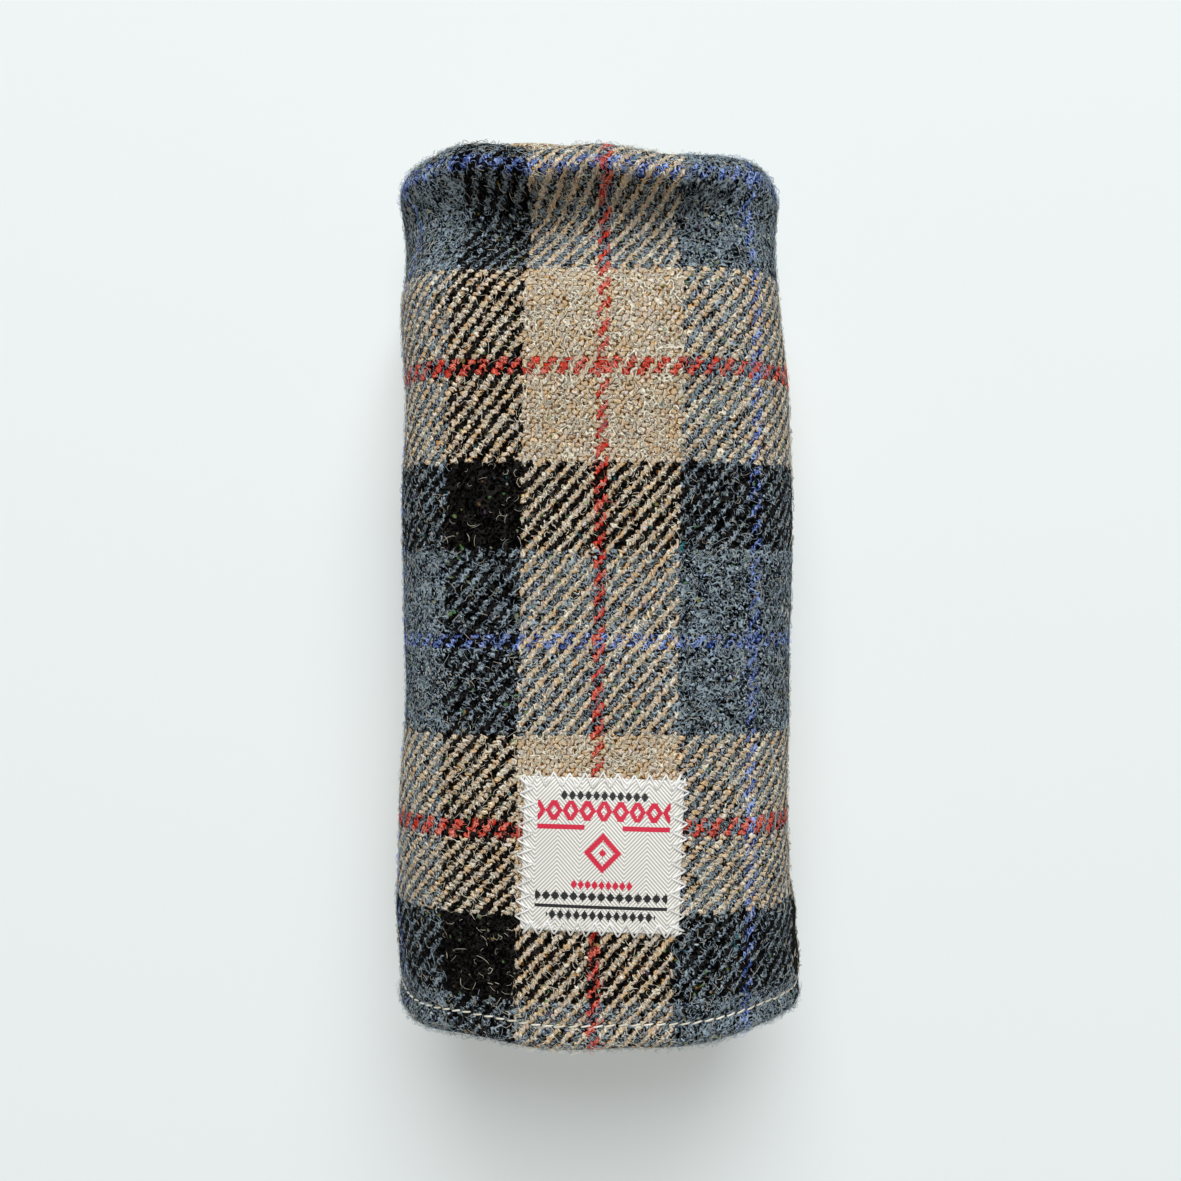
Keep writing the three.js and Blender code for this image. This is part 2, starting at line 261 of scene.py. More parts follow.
def arc(centre_y, centre_depth, reach, start, end, steps):
    """Stations on a rounded turn; angles in degrees, 0 towards the crown, 90 outwards."""
    angle = np.radians(np.linspace(start, end, steps))
    return np.stack([centre_y + reach * np.cos(angle), centre_depth - reach * np.sin(angle)], axis=1)


def straight(start, end, steps, depth_start, depth_end):
    """Even stations on a straight stretch."""
    return np.stack([np.linspace(start, end, steps), np.linspace(depth_start, depth_end, steps)], axis=1)


# ------------------------------------------------------------------ meshes
def new_object(name, points, faces, material, smooth=True):
    """A mesh object at the origin; points in millimetres, faces as rows of 3 or 4 corners."""
    mesh = bpy.data.meshes.new(name)
    mesh.from_pydata([], [], [])
    sizes = np.concatenate([np.full(len(f), f.shape[1], np.int32) for f in faces])
    corners = np.concatenate([f.ravel() for f in faces]).astype(np.int32)
    starts = np.concatenate([[0], np.cumsum(sizes)[:-1]]).astype(np.int32)
    mesh.vertices.add(len(points))
    mesh.vertices.foreach_set("co", (points * MM).astype(np.float32).ravel())
    mesh.loops.add(len(corners))
    mesh.loops.foreach_set("vertex_index", corners)
    mesh.polygons.add(len(sizes))
    mesh.polygons.foreach_set("loop_start", starts)
    mesh.polygons.foreach_set("use_smooth", np.full(len(sizes), smooth))
    mesh.update(calc_edges=True)
    mesh.validate()
    mesh.materials.append(material)
    piece = bpy.data.objects.new(name, mesh)
    bpy.context.collection.objects.link(piece)
    return piece


def set_map(piece, name, uv):
    """A map of the piece's corners."""
    layer = piece.data.uv_layers.new(name=name)
    layer.data.foreach_set("uv", uv.astype(np.float32).ravel())


def grid_faces(rows, columns, closed_rows):
    """Quads of a grid whose last column repeats the first, as vertex numbers and as map corners."""
    wrap = columns - 1
    r = np.arange(rows if closed_rows else rows - 1)[:, None]
    c = np.arange(wrap)[None, :]
    next_r = (r + 1) % rows
    corner = [(r, c), (r, c + 1), (r + 1, c + 1), (r + 1, c)]
    vertex = [(r, c), (r, (c + 1) % wrap), (next_r, (c + 1) % wrap), (next_r, c)]
    spread = np.broadcast_arrays
    faces = np.stack([(a * wrap + b) for a, b in (spread(*pair) for pair in vertex)], axis=-1).reshape(-1, 4)
    places = np.stack([np.stack(spread(*pair), axis=-1) for pair in corner], axis=-2).reshape(-1, 4, 2)
    return faces, places


def volume_of(points, faces):
    """Volume that the faces close in, less than 0 when they point inwards."""
    total = 0.0
    for block in faces:
        a, b = points[block[:, 0]], points[block[:, 1]]
        for k in range(2, block.shape[1]):
            c = points[block[:, k]]
            total += float(np.einsum("ij,ij->i", a, np.cross(b, c)).sum())
            b = c
    return total / 6


def tube_piece(name, points, threads, bake, material):
    """A closed wall from a grid of rows round a closed profile. threads and bake are map places per row
    and column, with one more row than points."""
    rows, columns = points.shape[:2]
    faces, places = grid_faces(rows, columns, True)
    flat = points[:, :-1].reshape(-1, 3)
    if volume_of(flat, [faces]) < 0:
        faces, places = faces[:, ::-1], places[:, ::-1]
    piece = new_object(name, flat, [faces], material)
    r, c = places[..., 0].ravel(), places[..., 1].ravel()
    set_map(piece, "Threads", threads[r, c])
    set_map(piece, "OFBake", bake[r, c])
    return piece


def panel_piece(name, points, threads, bake, poles, material):
    """A closed panel from rings of points with a pole at each end."""
    rows, columns = points.shape[:2]
    wrap = columns - 1
    faces, places = grid_faces(rows, columns, False)
    flat = np.concatenate([points[:, :-1].reshape(-1, 3), poles["points"]])
    first, last = rows * wrap, rows * wrap + 1
    c = np.arange(wrap)
    cap_a = np.stack([np.full(wrap, first), (c + 1) % wrap, c], axis=1)
    cap_b = np.stack([np.full(wrap, last), (rows - 1) * wrap + c, (rows - 1) * wrap + (c + 1) % wrap], axis=1)
    blocks = [faces, cap_a, cap_b]
    turned = volume_of(flat, blocks) < 0
    order = slice(None, None, -1) if turned else slice(None)
    r, k = places[:, order][..., 0].ravel(), places[:, order][..., 1].ravel()
    piece = new_object(name, flat, [block[:, order] for block in blocks], material)
    for map_name, grid, pole in (("Threads", threads, poles["threads"]), ("OFBake", bake, poles["bake"])):
        cap_a_uv = np.stack([np.broadcast_to(pole[0], (wrap, 2)), grid[0, c + 1], grid[0, c]], axis=1)
        cap_b_uv = np.stack([np.broadcast_to(pole[1], (wrap, 2)), grid[-1, c], grid[-1, c + 1]], axis=1)
        caps = [cap[:, order].reshape(-1, 2) for cap in (cap_a_uv, cap_b_uv)]
        set_map(piece, map_name, np.concatenate([grid[r, k], *caps]))
    return piece


# ------------------------------------------------------------------ materials
MODES = {
    "Math": "operation", "VectorMath": "operation", "Mix": "data_type", "TexNoise": "noise_dimensions",
    "TexVoronoi": "voronoi_dimensions", "VectorRotate": "rotation_type",
}
# black of the painted shadows beside the fibres and hairs
PAINTED_SHADOW_BLACK = (0.0, 0.0, 0.0, 1.0)


def add(tree, kind, inputs=(), **settings):
    """Adds a node, sets its properties, and fills or links its inputs. A second word in kind is the node's
    mode, as in "Math ADD". A node among the inputs stands for its first output in use."""
    kind, _, mode = kind.partition(" ")
    made = tree.nodes.new("ShaderNode" + kind)
    if mode:
        setattr(made, MODES[kind], mode)
    for name, value in settings.items():
        setattr(made, name, value)
    for key, value in inputs.items() if isinstance(inputs, dict) else enumerate(inputs):
        if isinstance(value, bpy.types.Node):
            value = next(output for output in value.outputs if output.enabled)
        if isinstance(value, bpy.types.NodeSocket):
            tree.links.new(value, made.inputs[key])
        elif value is not None:
            made.inputs[key].default_value = value
    return made


def new_material(name, colour):
    """An empty material, and what adds a node to it."""
    material = bpy.data.materials.new(name)
    material.use_nodes = True
    material.diffuse_color = (*colour, 1)
    material.node_tree.nodes.clear()
    return material, partial(add, material.node_tree)


def finish(make):
    """The material that a function of the same name makes, made once."""
    return bpy.data.materials.get(make.__name__) or make()


def set_stops(ramp, stops):
    """Sets a colour ramp's stops, each a place and a colour."""
    for k, (position, colour) in enumerate(stops):
        elements = ramp.color_ramp.elements
        stop = elements[k] if k < 2 else elements.new(position)
        stop.position = position
        stop.color = (*colour, 1)


def yarn_colour(yarn, shade):
    """A yarn's colour in one of its shades; the panel sets the lit one."""
    if shade == LIT:
        return tuple(getattr(bpy.context.scene.headcover_colours, yarn))
    return linear(YARNS[yarn][shade])


def check_stripes(node, number, shade):
    """Colour of a thread, in one shade, from its number, counted from the cover's middle."""
    number = node("Math ADD", [number, CHECK_START + 0.5])
    number = node("Math FLOORED_MODULO", [number, float(CHECK_THREADS)])
    number = node("Math DIVIDE", [number, float(CHECK_THREADS)])
    ramp = node("ValToRGB", [number])
    ramp.color_ramp.interpolation = "CONSTANT"
    starts = np.cumsum([0] + [count for _, count in CHECK])
    set_stops(ramp, [(start / CHECK_THREADS, yarn_colour(yarn, shade)) for start, (yarn, _) in
                     zip(starts.tolist(), CHECK)])
    return ramp


def shifted(node, here, scale, size):
    """A smooth shift to both sides, of up to half of size; scale is in metres."""
    noise = node("TexNoise", {"Vector": here, "Scale": 1 / scale, "Detail": 2.0})
    middle = node("VectorMath SUBTRACT", [noise.outputs["Color"], (0.5, 0.5, 0.5)])
    return node("VectorMath SCALE", {0: middle, "Scale": size})


def felted_fibres(node, threads, colour, wobble):
    """Loose curved fibres felted over the weave, one to a cell, each in one colour: its own yarn's, with a
    painted shadow round it.
    """
    for cells, start, bend in FELTED_LAYERS:
        at = node("VectorMath ADD", [threads, start])
        at = node("VectorMath ADD", [at, wobble])
        cell = node("TexVoronoi 2D", {"Vector": at, "Scale": cells})
        root = cell.outputs["Position"]
        chance = node("SeparateColor", [cell.outputs["Color"]])
        local = node("VectorMath SUBTRACT", [at, root])
        angle = node("Math MULTIPLY", [chance.outputs[0], 2 * math.pi])
        local = node("VectorRotate Z_AXIS", {"Vector": local, "Angle": angle})
        local = node("SeparateXYZ", [local])
        square = node("Math MULTIPLY", [local.outputs[0], local.outputs[0]])
        off = node("Math MULTIPLY_ADD", [square, bend, local.outputs[1]])
        off = node("Math ABSOLUTE", [off])
        mask = node("MapRange", {
            "Value": off, "From Min": 0.05, "From Max": 0.11, "To Min": 1.0, "To Max": 0.0,
        })
        strength = node("Math POWER", [chance.outputs[1], 1.8])
        mask = node("Math MULTIPLY", [mask, strength])
        # painted shadow: a dark band round each fibre
        shadow = node("MapRange", {
            "Value": off, "From Min": 0.12, "From Max": 0.3, "To Min": 0.6, "To Max": 0.0,
        })
        shadow = node("Math MULTIPLY", [shadow, strength])
        colour = node("Mix RGBA", {0: shadow, 6: colour, 7: PAINTED_SHADOW_BLACK})
        root = node("VectorMath SUBTRACT", [root, start])
        root = node("VectorMath FLOOR", [root])
        root = node("SeparateXYZ", [root])
        from_weft = node("Math GREATER_THAN", [chance.outputs[2], 0.5])
        number = node("Mix", {0: from_weft, 2: root.outputs[0], 3: root.outputs[1]})
        fibre = check_stripes(node, number, STRAY)
        colour = node("Mix RGBA", {0: mask, 6: colour, 7: fibre})
    return colour


def curly_fibres(node, here, number, colour):
    """Long curly hairs: the level lines of a smooth field, broken off here and there, each with a painted
    shadow.
    """
    hair = check_stripes(node, number, STRAY)
    for field_number, size in CURLY_LAYERS:
        field = node("TexNoise 4D", {"Vector": here, "W": field_number, "Scale": 1 / size, "Detail": 0.5})
        off = node("Math SUBTRACT", [field, 0.5])
        off = node("Math ABSOLUTE", [off])
        shown = node("TexNoise 4D", {
            "Vector": here, "W": field_number + 1, "Scale": 1 / CURL_BREAKS, "Detail": 0.0,
        })
        shown = node("MapRange", {"Value": shown, "From Min": 0.5, "From Max": 0.63})
        # painted shadow: a dark band along each hair
        shadow = node("MapRange", {
            "Value": off, "From Min": 0.06, "From Max": 0.14, "To Min": 0.65, "To Max": 0.0,
        })
        shadow = node("Math MULTIPLY", [shadow, shown])
        line = node("MapRange", {
            "Value": off, "From Min": 0.025, "From Max": 0.06, "To Min": 1.0, "To Max": 0.0,
        })
        line = node("Math MULTIPLY", [line, shown])
        colour = node("Mix RGBA", {0: shadow, 6: colour, 7: PAINTED_SHADOW_BLACK})
        colour = node("Mix RGBA", {0: line, 6: colour, 7: hair})
    return colour


def woollen_check_tweed():
    """Woollen-spun tweed in 2/2 twill: fat soft yarns of pale and dark wool, each in a painted shaded and a
    painted lit copy of its colour, painted shade in the gaps between them, and a hairy nap that blurs the
    weave."""
    material, node = new_material("woollen_check_tweed", linear("#6f6a5e"))
    threads = node("UVMap", uv_map="Threads").outputs[0]
    here = node("TexCoord").outputs["Object"]
    # soft spinning: the yarns wander by a third of their width every 5 mm, and their edges fray
    wander = shifted(node, here, 0.005, 1.3)
    fray = shifted(node, here, 0.0011, 1.8)
    place_on = node("VectorMath ADD", [threads, wander])
    place_on = node("VectorMath ADD", [place_on, fray])
    split = node("SeparateXYZ", [place_on])
    u, v = split.outputs[0], split.outputs[1]
    end = node("Math FLOOR", [u])
    pick = node("Math FLOOR", [v])
    step = node("Math SUBTRACT", [end, pick])
    step = node("Math FLOORED_MODULO", [step, 4.0])
    weft_up = node("Math GREATER_THAN", [step, 1.5])
    across_u = node("Math SUBTRACT", [u, end])
    across_v = node("Math SUBTRACT", [v, pick])
    # place along a float, -1 to 1, and across it; warp floats lean with the twist of the yarn
    along_warp = node("Math SUBTRACT", [across_v, step])
    along_weft = node("Math ADD", [across_u, step])
    along_weft = node("Math SUBTRACT", [along_weft, 3.0])
    cross_warp = node("Math MULTIPLY_ADD", [across_u, 2.0, -1.0])
    cross_warp = node("Math MULTIPLY_ADD", [along_warp, -0.45, cross_warp])
    cross_weft = node("Math MULTIPLY_ADD", [across_v, 2.0, -1.0])
    along = node("Mix", {0: weft_up, 2: along_warp, 3: along_weft})
    cross = node("Mix", {0: weft_up, 2: cross_warp, 3: cross_weft})
    along_square = node("Math MULTIPLY", [along, along])
    along_power = node("Math MULTIPLY", [along_square, along_square])
    cross_square = node("Math MULTIPLY", [cross, cross])
    swell = node("Math MULTIPLY_ADD", [cross_square, -0.85, 1.0])
    swell = node("Math MULTIPLY_ADD", [along_square, -0.5, swell])
    swell = node("Math MULTIPLY_ADD", [along_power, -0.45, swell])
    swell = node("Math MAXIMUM", [swell, 0.0])
    number = node("Mix", {0: weft_up, 2: end, 3: pick})
    shaded = check_stripes(node, number, SHADED)
    lit = check_stripes(node, number, LIT)
    # fibres lie along the yarn with its twist, drawn about four times their real width so that they show
    fibre_x = node("Mix", {0: weft_up, 2: u, 3: v})
    fibre_y = node("Mix", {0: weft_up, 2: v, 3: u})
    fibre_x = node("Math MULTIPLY_ADD", [fibre_y, 0.6, fibre_x])
    fibre_at = node("CombineXYZ", [fibre_x, fibre_y, weft_up])
    fibre_at = node("VectorMath MULTIPLY", [fibre_at, (3.0, 0.7, 9.0)])
    fibre = node("TexNoise", {"Vector": fibre_at, "Scale": 1.0, "Detail": 1.0, "Roughness": 0.6})
    fibre = node("MapRange", {"Value": fibre, "From Min": 0.49, "From Max": 0.565})
    speckle = node("TexNoise", {"Vector": here, "Scale": 1 / 0.0006, "Detail": 1.0})
    speckle = node("MapRange", {"Value": speckle, "From Min": 0.485, "From Max": 0.545})
    # painted light: the lit copy of each yarn's colour shows on the fibres and speckles, most on the high
    # middle of each float
    strength = node("Math MULTIPLY_ADD", [speckle, 0.8, 0.2])
    strength = node("Math MULTIPLY", [strength, fibre])
    body = node("Math MULTIPLY_ADD", [swell, 1.5, 0.3])
    strength = node("Math MULTIPLY", [strength, body], use_clamp=True)
    yarn = node("Mix RGBA", {0: strength, 6: shaded, 7: lit})
    # painted shade: light that gets into a gap bounces from wool to wool, so deeper places are painted darker
    # and stronger in colour and high places lighter; no two floats lie equally high, so each is painted a
    # little darker or lighter
    depth = node("MapRange", {"Value": swell, "From Max": 0.6, "To Min": 2.0, "To Max": 0.72})
    float_at = node("CombineXYZ", [end, pick, weft_up])
    level = node("TexWhiteNoise", {"Vector": float_at})
    level = node("Math MULTIPLY_ADD", [level, 0.8, 0.7])
    depth = node("Math MULTIPLY", [depth, level])
    colour = node("Gamma", [yarn, depth])
    # painted shade in the gaps between the yarns and in lines between the fibres of each float
    shade = node("MapRange", {"Value": swell, "From Max": 0.38, "To Min": 0.1, "To Max": 1.0})
    between = node("Math MULTIPLY_ADD", [fibre, 0.35, 0.65])
    shade = node("Math MULTIPLY", [shade, between])
    colour = node("Mix RGBA", {0: 1.0, 6: colour, 7: shade}, blend_type="MULTIPLY")
    # heather: the fleece was dyed before it was spun, so every yarn is warmer and cooler by turns
    heather = node("TexNoise", {"Vector": here, "Scale": 1 / 0.0016, "Detail": 1.0})
    heather = node("ValToRGB", [heather])
    set_stops(heather, [(place_at, linear(tint)) for place_at, tint in HEATHER])
    colour = node("Mix RGBA", {0: 0.4, 6: colour, 7: heather}, blend_type="MULTIPLY")
    colour = felted_fibres(node, threads, colour, fray)
    colour = curly_fibres(node, here, number, colour)
    # noils: dyed flecks of other wool caught in the yarn
    speck = node("TexNoise 4D", {"Vector": here, "Scale": 1 / 0.0013, "Detail": 0.0, "W": 11.0})
    speck = node("MapRange", {"Value": speck, "From Min": 0.735, "From Max": 0.80, "To Max": 0.6})
    hue = node("TexNoise 4D", {"Vector": here, "Scale": 1 / 0.004, "Detail": 0.0, "W": 23.0})
    hue = node("ValToRGB", [hue])
    set_stops(hue, [(place_at, linear(fleck)) for place_at, fleck in NOILS])
    colour = node("Mix RGBA", {0: speck, 6: colour, 7: hue})
    height = node("Math MULTIPLY_ADD", [fibre, 0.35, swell])
    relief = node("Bump", {"Strength": 1.0, "Distance": 0.0003, "Height": height})
    shader = node("BsdfPrincipled", {
        "Base Color": colour, "Roughness": 1.0, "Normal": relief, "Sheen Weight": 0.01,
        "Sheen Roughness": 0.4, "Specular IOR Level": 0.02,
    })
    node("OutputMaterial", [shader])
    return material


def stray_wool_fibre():
    """Stray wool fibres: matt, slightly see-through, each in a colour of the yarn that it came out of, partly
    its painted lit shade.
    """
    material, node = new_material("stray_wool_fibre", linear("#c9bfae"))
    colour = node("Attribute", attribute_name="fibre")
    shader = node("BsdfPrincipled", {
        "Base Color": colour.outputs["Color"], "Roughness": 0.8, "Specular IOR Level": 0.1,
    })
    node("OutputMaterial", [shader])
    return material


def natural_fleece():
    """Undyed short-pile fleece: soft curls about 2 mm across, with painted shade between them."""
    material, node = new_material("natural_fleece", linear("#d8cdb8"))
    here = node("TexCoord").outputs["Object"]
    curl = node("TexNoise", {
        "Vector": here, "Scale": 1 / 0.0022, "Detail": 4.0, "Roughness": 0.65, "Distortion": 1.0,
    })
    # painted shade: darker where the curls lie low, the tips' colour where they stand high
    tone = node("ValToRGB", [curl])
    set_stops(tone, [(0.32, linear("#a89878")), (0.62, tuple(bpy.context.scene.headcover_colours.fleece))])
    relief = node("Bump", {"Strength": 0.8, "Distance": 0.0012, "Height": curl})
    shader = node("BsdfPrincipled", {
        "Base Color": tone, "Roughness": 0.95, "Normal": relief, "Sheen Weight": 0.5, "Sheen Roughness": 0.5,
    })
    node("OutputMaterial", [shader])
    return material


def bonded_wadding():
    """Bonded polyester wadding: white, fibrous, with thin and thick clouds."""
    material, node = new_material("bonded_wadding", linear("#e9e6dd"))
    here = node("TexCoord").outputs["Object"]
    cloud = node("TexNoise", {"Vector": here, "Scale": 1 / 0.006, "Detail": 5.0, "Roughness": 0.7})
    tone = node("ValToRGB", [cloud])
    set_stops(tone, [(0.0, linear("#cfcabd")), (1.0, linear("#ffffff"))])
    relief = node("Bump", {"Strength": 0.6, "Distance": 0.001, "Height": cloud})
    shader = node("BsdfPrincipled", {"Base Color": tone, "Roughness": 1.0, "Normal": relief})
    node("OutputMaterial", [shader])
    return material


def thread(name):
    """Spun sewing thread: two plies twisted together, seen as slanted bands of painted light and shade."""
    if name in bpy.data.materials:
        return bpy.data.materials[name]
    dark, bright = (linear(colour) for colour in THREADS[name])
    material, node = new_material(name, bright)
    here = node("TexCoord").outputs["Object"]
    plies = node("TexWave", {"Vector": here, "Scale": 1 / PLY_TWIST / 20, "Distortion": 0.6, "Detail": 1.0},
                 bands_direction="DIAGONAL")
    fuzz = node("TexNoise", {"Vector": here, "Scale": 1 / 0.0004, "Detail": 2.0})
    mix = node("Mix", {0: 0.4, 2: plies.outputs["Fac"], 3: fuzz})
    # painted light and shade: the twist's bands mix the thread's shaded and lit colours
    tone = node("Mix RGBA", {0: mix, 6: (*dark, 1), 7: (*bright, 1)})
    relief = node("Bump", {"Strength": 0.5, "Distance": 0.0001, "Height": mix})
    shader = node("BsdfPrincipled", {
        "Base Color": tone, "Roughness": 0.55, "Normal": relief, "Sheen Weight": 0.2,
    })
    node("OutputMaterial", [shader])
    return material


def damask_woven_label():
    """Damask-woven polyester: white satin ground with a fine grey herringbone and an ornament of
    floats in red and black, slightly raised."""
    material, node = new_material("damask_woven_label", linear("#e3dfd6"))
    colours = bpy.context.scene.headcover_colours
    inks = {"ink": (*colours.label_black, 1), "crimson": (*colours.label_red, 1)}
    at = node("SeparateXYZ", [node("UVMap", uv_map="Label")])
    x, y = at.outputs[0], at.outputs[1]
    width, spacing, slope = HERRINGBONE
    column = node("Math PINGPONG", [x, width])
    line = node("Math MULTIPLY_ADD", [column, slope, y])
    line = node("Math FLOORED_MODULO", [line, spacing])
    line = node("Math SUBTRACT", [line, spacing / 2])
    line = node("Math ABSOLUTE", [line])
    line = node("MapRange", {"Value": line, "From Min": 0.2, "From Max": 0.34})
    ground = node("Mix RGBA", {0: line, 6: (*linear("#bdb8ae"), 1), 7: (*linear("#fffdf7"), 1)})
    # weave: 0.28 mm floats that break every edge of the ornament into steps
    step_x = node("Math SNAP", [x, 0.28])
    step_y = node("Math SNAP", [y, 0.2])
    far_x = node("Math ABSOLUTE", [step_x])
    raised = 0.0
    for middle, half, start, end, pitch, mark, ink in LABEL_ROWS:
        off = node("Math SUBTRACT", [step_y, middle])
        off = node("Math ABSOLUTE", [off])
        limits = [node("Math LESS_THAN", [far_x, end])]
        if start:
            limits.append(node("Math GREATER_THAN", [far_x, start]))
        if mark == "rule":
            shape = node("Math LESS_THAN", [off, half])
        else:
            wave = node("Math PINGPONG", [step_x, pitch / 2])
            reach = node("Math MULTIPLY", [wave, 2 * half / (pitch / 2)])
            near = node("Math MULTIPLY_ADD", [off, 2.0 if mark == "lozenge" else 1.35, reach])
            shape = node("Math LESS_THAN", [near, 2 * half])
            if mark == "chain":
                limits.insert(0, node("Math GREATER_THAN", [near, 0.75 * half]))
            limits.insert(-1, node("Math LESS_THAN", [off, half]))
        for limit in limits:
            shape = node("Math MULTIPLY", [shape, limit])
        ground = node("Mix RGBA", {0: shape, 6: ground, 7: inks[ink]})
        raised = node("Math MAXIMUM", [shape, raised])
    # lozenge emblem: an outline round a small lozenge
    middle, wide, tall = EMBLEM
    up = node("Math SUBTRACT", [step_y, middle])
    up = node("Math ABSOLUTE", [up])
    up = node("Math MULTIPLY_ADD", [up, wide / tall, far_x])
    ring = node("Math PINGPONG", [up, 1.9])
    ring = node("Math LESS_THAN", [ring, 0.95])
    limit = node("Math LESS_THAN", [up, wide - 1.0])
    ring = node("Math MULTIPLY", [ring, limit])
    ground = node("Mix RGBA", {0: ring, 6: ground, 7: inks["crimson"]})
    raised = node("Math MAXIMUM", [ring, raised])
    rib = node("Math PINGPONG", [y, 0.14])
    height = node("Math MULTIPLY_ADD", [rib, 1.5, raised])
    height = node("Math MULTIPLY_ADD", [line, 0.4, height])
    relief = node("Bump", {"Strength": 0.6, "Distance": 0.00012, "Height": height})
    shader = node("BsdfPrincipled", {
        "Base Color": ground, "Roughness": 0.5, "Normal": relief, "Sheen Weight": 0.15,
        "Specular IOR Level": 0.4,
    })
    node("OutputMaterial", [shader])
    return material


# ------------------------------------------------------------------ cloth pieces
def curve_through(points, spacing):
    """Even stations on a smooth curve through a few given ones."""
    p = np.array(points, float)
    ends = np.concatenate([[2 * p[0] - p[1]], p, [2 * p[-1] - p[-2]]])
    t = np.linspace(0, 1, 12, endpoint=False)[:, None]
    rows = []
    for a, b, c, d in zip(ends, ends[1:], ends[2:], ends[3:]):
        rows.append(0.5 * (2 * b + (c - a) * t + (2 * a - 5 * b + 4 * c - d) * t ** 2
                           + (3 * b - a - 3 * c + d) * t ** 3))
    rows = np.concatenate(rows + [p[-1:]])
    run = run_of(rows)
    at = np.linspace(0, run[-1], max(2, int(round(run[-1] / spacing)) + 1))
    return np.stack([np.interp(at, run, rows[:, k]) for k in range(rows.shape[1])], axis=1)


def joined(*stretches):
    """One profile from stretches that meet end to end."""
    rows = [stretches[0]]
    for stretch in stretches[1:]:
        same = np.allclose(rows[-1][-1], stretch[0], atol=1e-6)
        rows.append(stretch[1:] if same else stretch)
    return np.concatenate(rows)


def barrel_profile():
    """The barrel's cloth in section: rim, outside, rolled hem, turned-in flap, inside, seam allowance.
    Returns the stations, how many of them from the start are in sight, and the row of the hem's fold."""
    seam_back = BARREL_SEAM + TWEED
    rim = curve_through([
        (SEAM_END_Y + 3, seam_back), (RIM_Y - 2.4, seam_back), (RIM_Y - 0.7, 9.1), (RIM_Y, 7.0),
        (RIM_Y - 0.5, 4.6), (RIM_Y - 2.4, 2.1), (RIM_Y - 5.6, 0.5), (RIM_Y - RIM_ROLL, 0.0),
    ], 1.0)
    roll = HEM_THICKNESS / 2
    fold_y = MOUTH_Y + roll
    outside = straight(RIM_Y - RIM_ROLL, fold_y, 178, 0, 0)
    hem = arc(fold_y, roll, roll, 90, 270, 14)
    flap = straight(fold_y, FLAP_END_Y, 10, HEM_THICKNESS, HEM_THICKNESS)
    flap_back = straight(FLAP_END_Y, fold_y, 4, FLAP_FACE, FLAP_FACE)
    fold_inside = arc(fold_y, roll, roll - TWEED, 270, 90, 6)
    inside = straight(fold_y, RIM_Y - RIM_ROLL, 36, TWEED, TWEED)
    rim_inside = curve_through([
        (RIM_Y - RIM_ROLL, TWEED), (RIM_Y - 6.2, TWEED + 0.5), (RIM_Y - 3.4, 3.6), (RIM_Y - 2.2, 5.8),
        (RIM_Y - 3.0, 8.0), (SEAM_END_Y + 3, BARREL_SEAM), (SEAM_END_Y, BARREL_SEAM),
    ], 2.0)
    seam_end = straight(SEAM_END_Y, SEAM_END_Y, 2, BARREL_SEAM, seam_back)
    shown = joined(rim, outside, hem, flap)
    profile = joined(shown, flap_back, fold_inside, inside, rim_inside, seam_end)
    return profile, len(shown), len(rim) + len(outside) - 2


def bake_rows(profile, shown):
    """Map heights that give the cloth in sight almost all of the picture, and the rest a twentieth."""
    closed = np.concatenate([profile, profile[:1]])
    steps = np.hypot(np.diff(closed[:, 0]), np.diff(closed[:, 1])) + 0.05
    weight = np.where(np.arange(len(steps)) < shown - 1, 1.0, 0.05)
    heights = np.concatenate([[0], np.cumsum(steps * weight)])
    return heights / heights[-1]


def pick_at(run):
    """Which pick lies at a length along the cloth, counted from the middle of the cover."""
    places = np.array(sorted(PICKS))
    inside = np.interp(run, places[:, 0], places[:, 1])
    below = (np.minimum(run, places[0, 0]) - places[0, 0]) / PICK_SPACING
    above = (np.maximum(run, places[-1, 0]) - places[-1, 0]) / PICK_SPACING
    return inside + below + above


def barrel_threads(profile, fold_row):
    """The weave's place for every station: ends across, picks along."""
    closed = np.concatenate([profile, profile[:1]])
    run = run_of(closed)
    middle = np.interp(0, -closed[:fold_row, 0], run[:fold_row])
    threads = np.zeros((len(closed), COLUMNS, 2))
    for k, (y, _) in enumerate(closed):
        x, z, _, _, along = outline(y, COLUMNS)
        upper = z > AXIS_Z
        front = np.interp(0, -x[upper], along[upper])
        red_end = RED_END_X + RED_END_SLANT * y
        threads[k, :, 0] = (front - along - red_end) / END_SPACING + 0.5
        threads[k, :, 1] = pick_at(middle - run[k])
    return threads


def barrel_relief(profile, shown):
    """Extra depth on the barrel's outside: the stitched groove, the puffed hem and the back seam."""
    y, depth = profile[:, :1], profile[:, 1:2]
    q = np.linspace(0, 1, COLUMNS)[None, :]
    outer = (np.arange(len(profile))[:, None] < shown) & (depth < 2.2)
    # the groove is deepest where the needle went in
    holes = 0.8 + 0.2 * np.cos(2 * math.pi * q * NEEDLE_HOLES)
    relief = 0.95 * bump(y, STITCH_Y, 1.25) * holes - 0.3 * bump(y, MOUTH_Y + 3.4, 2.0)
    relief = relief + 1.1 * (bump(q, 0, 0.0035) + bump(q, 1, 0.0035)) * smoothstep(RIM_Y, RIM_Y - 12, y)
    return np.where(outer, relief, 0)


def settle(points):
    """Nothing reaches below what the cover lies on."""
    points[..., 2] = np.maximum(points[..., 2], 0)
    return points


def finish_piece(piece, slot, *nodes):
    """The piece moves with the cover and stands for some frame nodes, which it hides; slot is not used."""
    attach(piece, "root")
    if nodes:
        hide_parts(*nodes)
    return piece


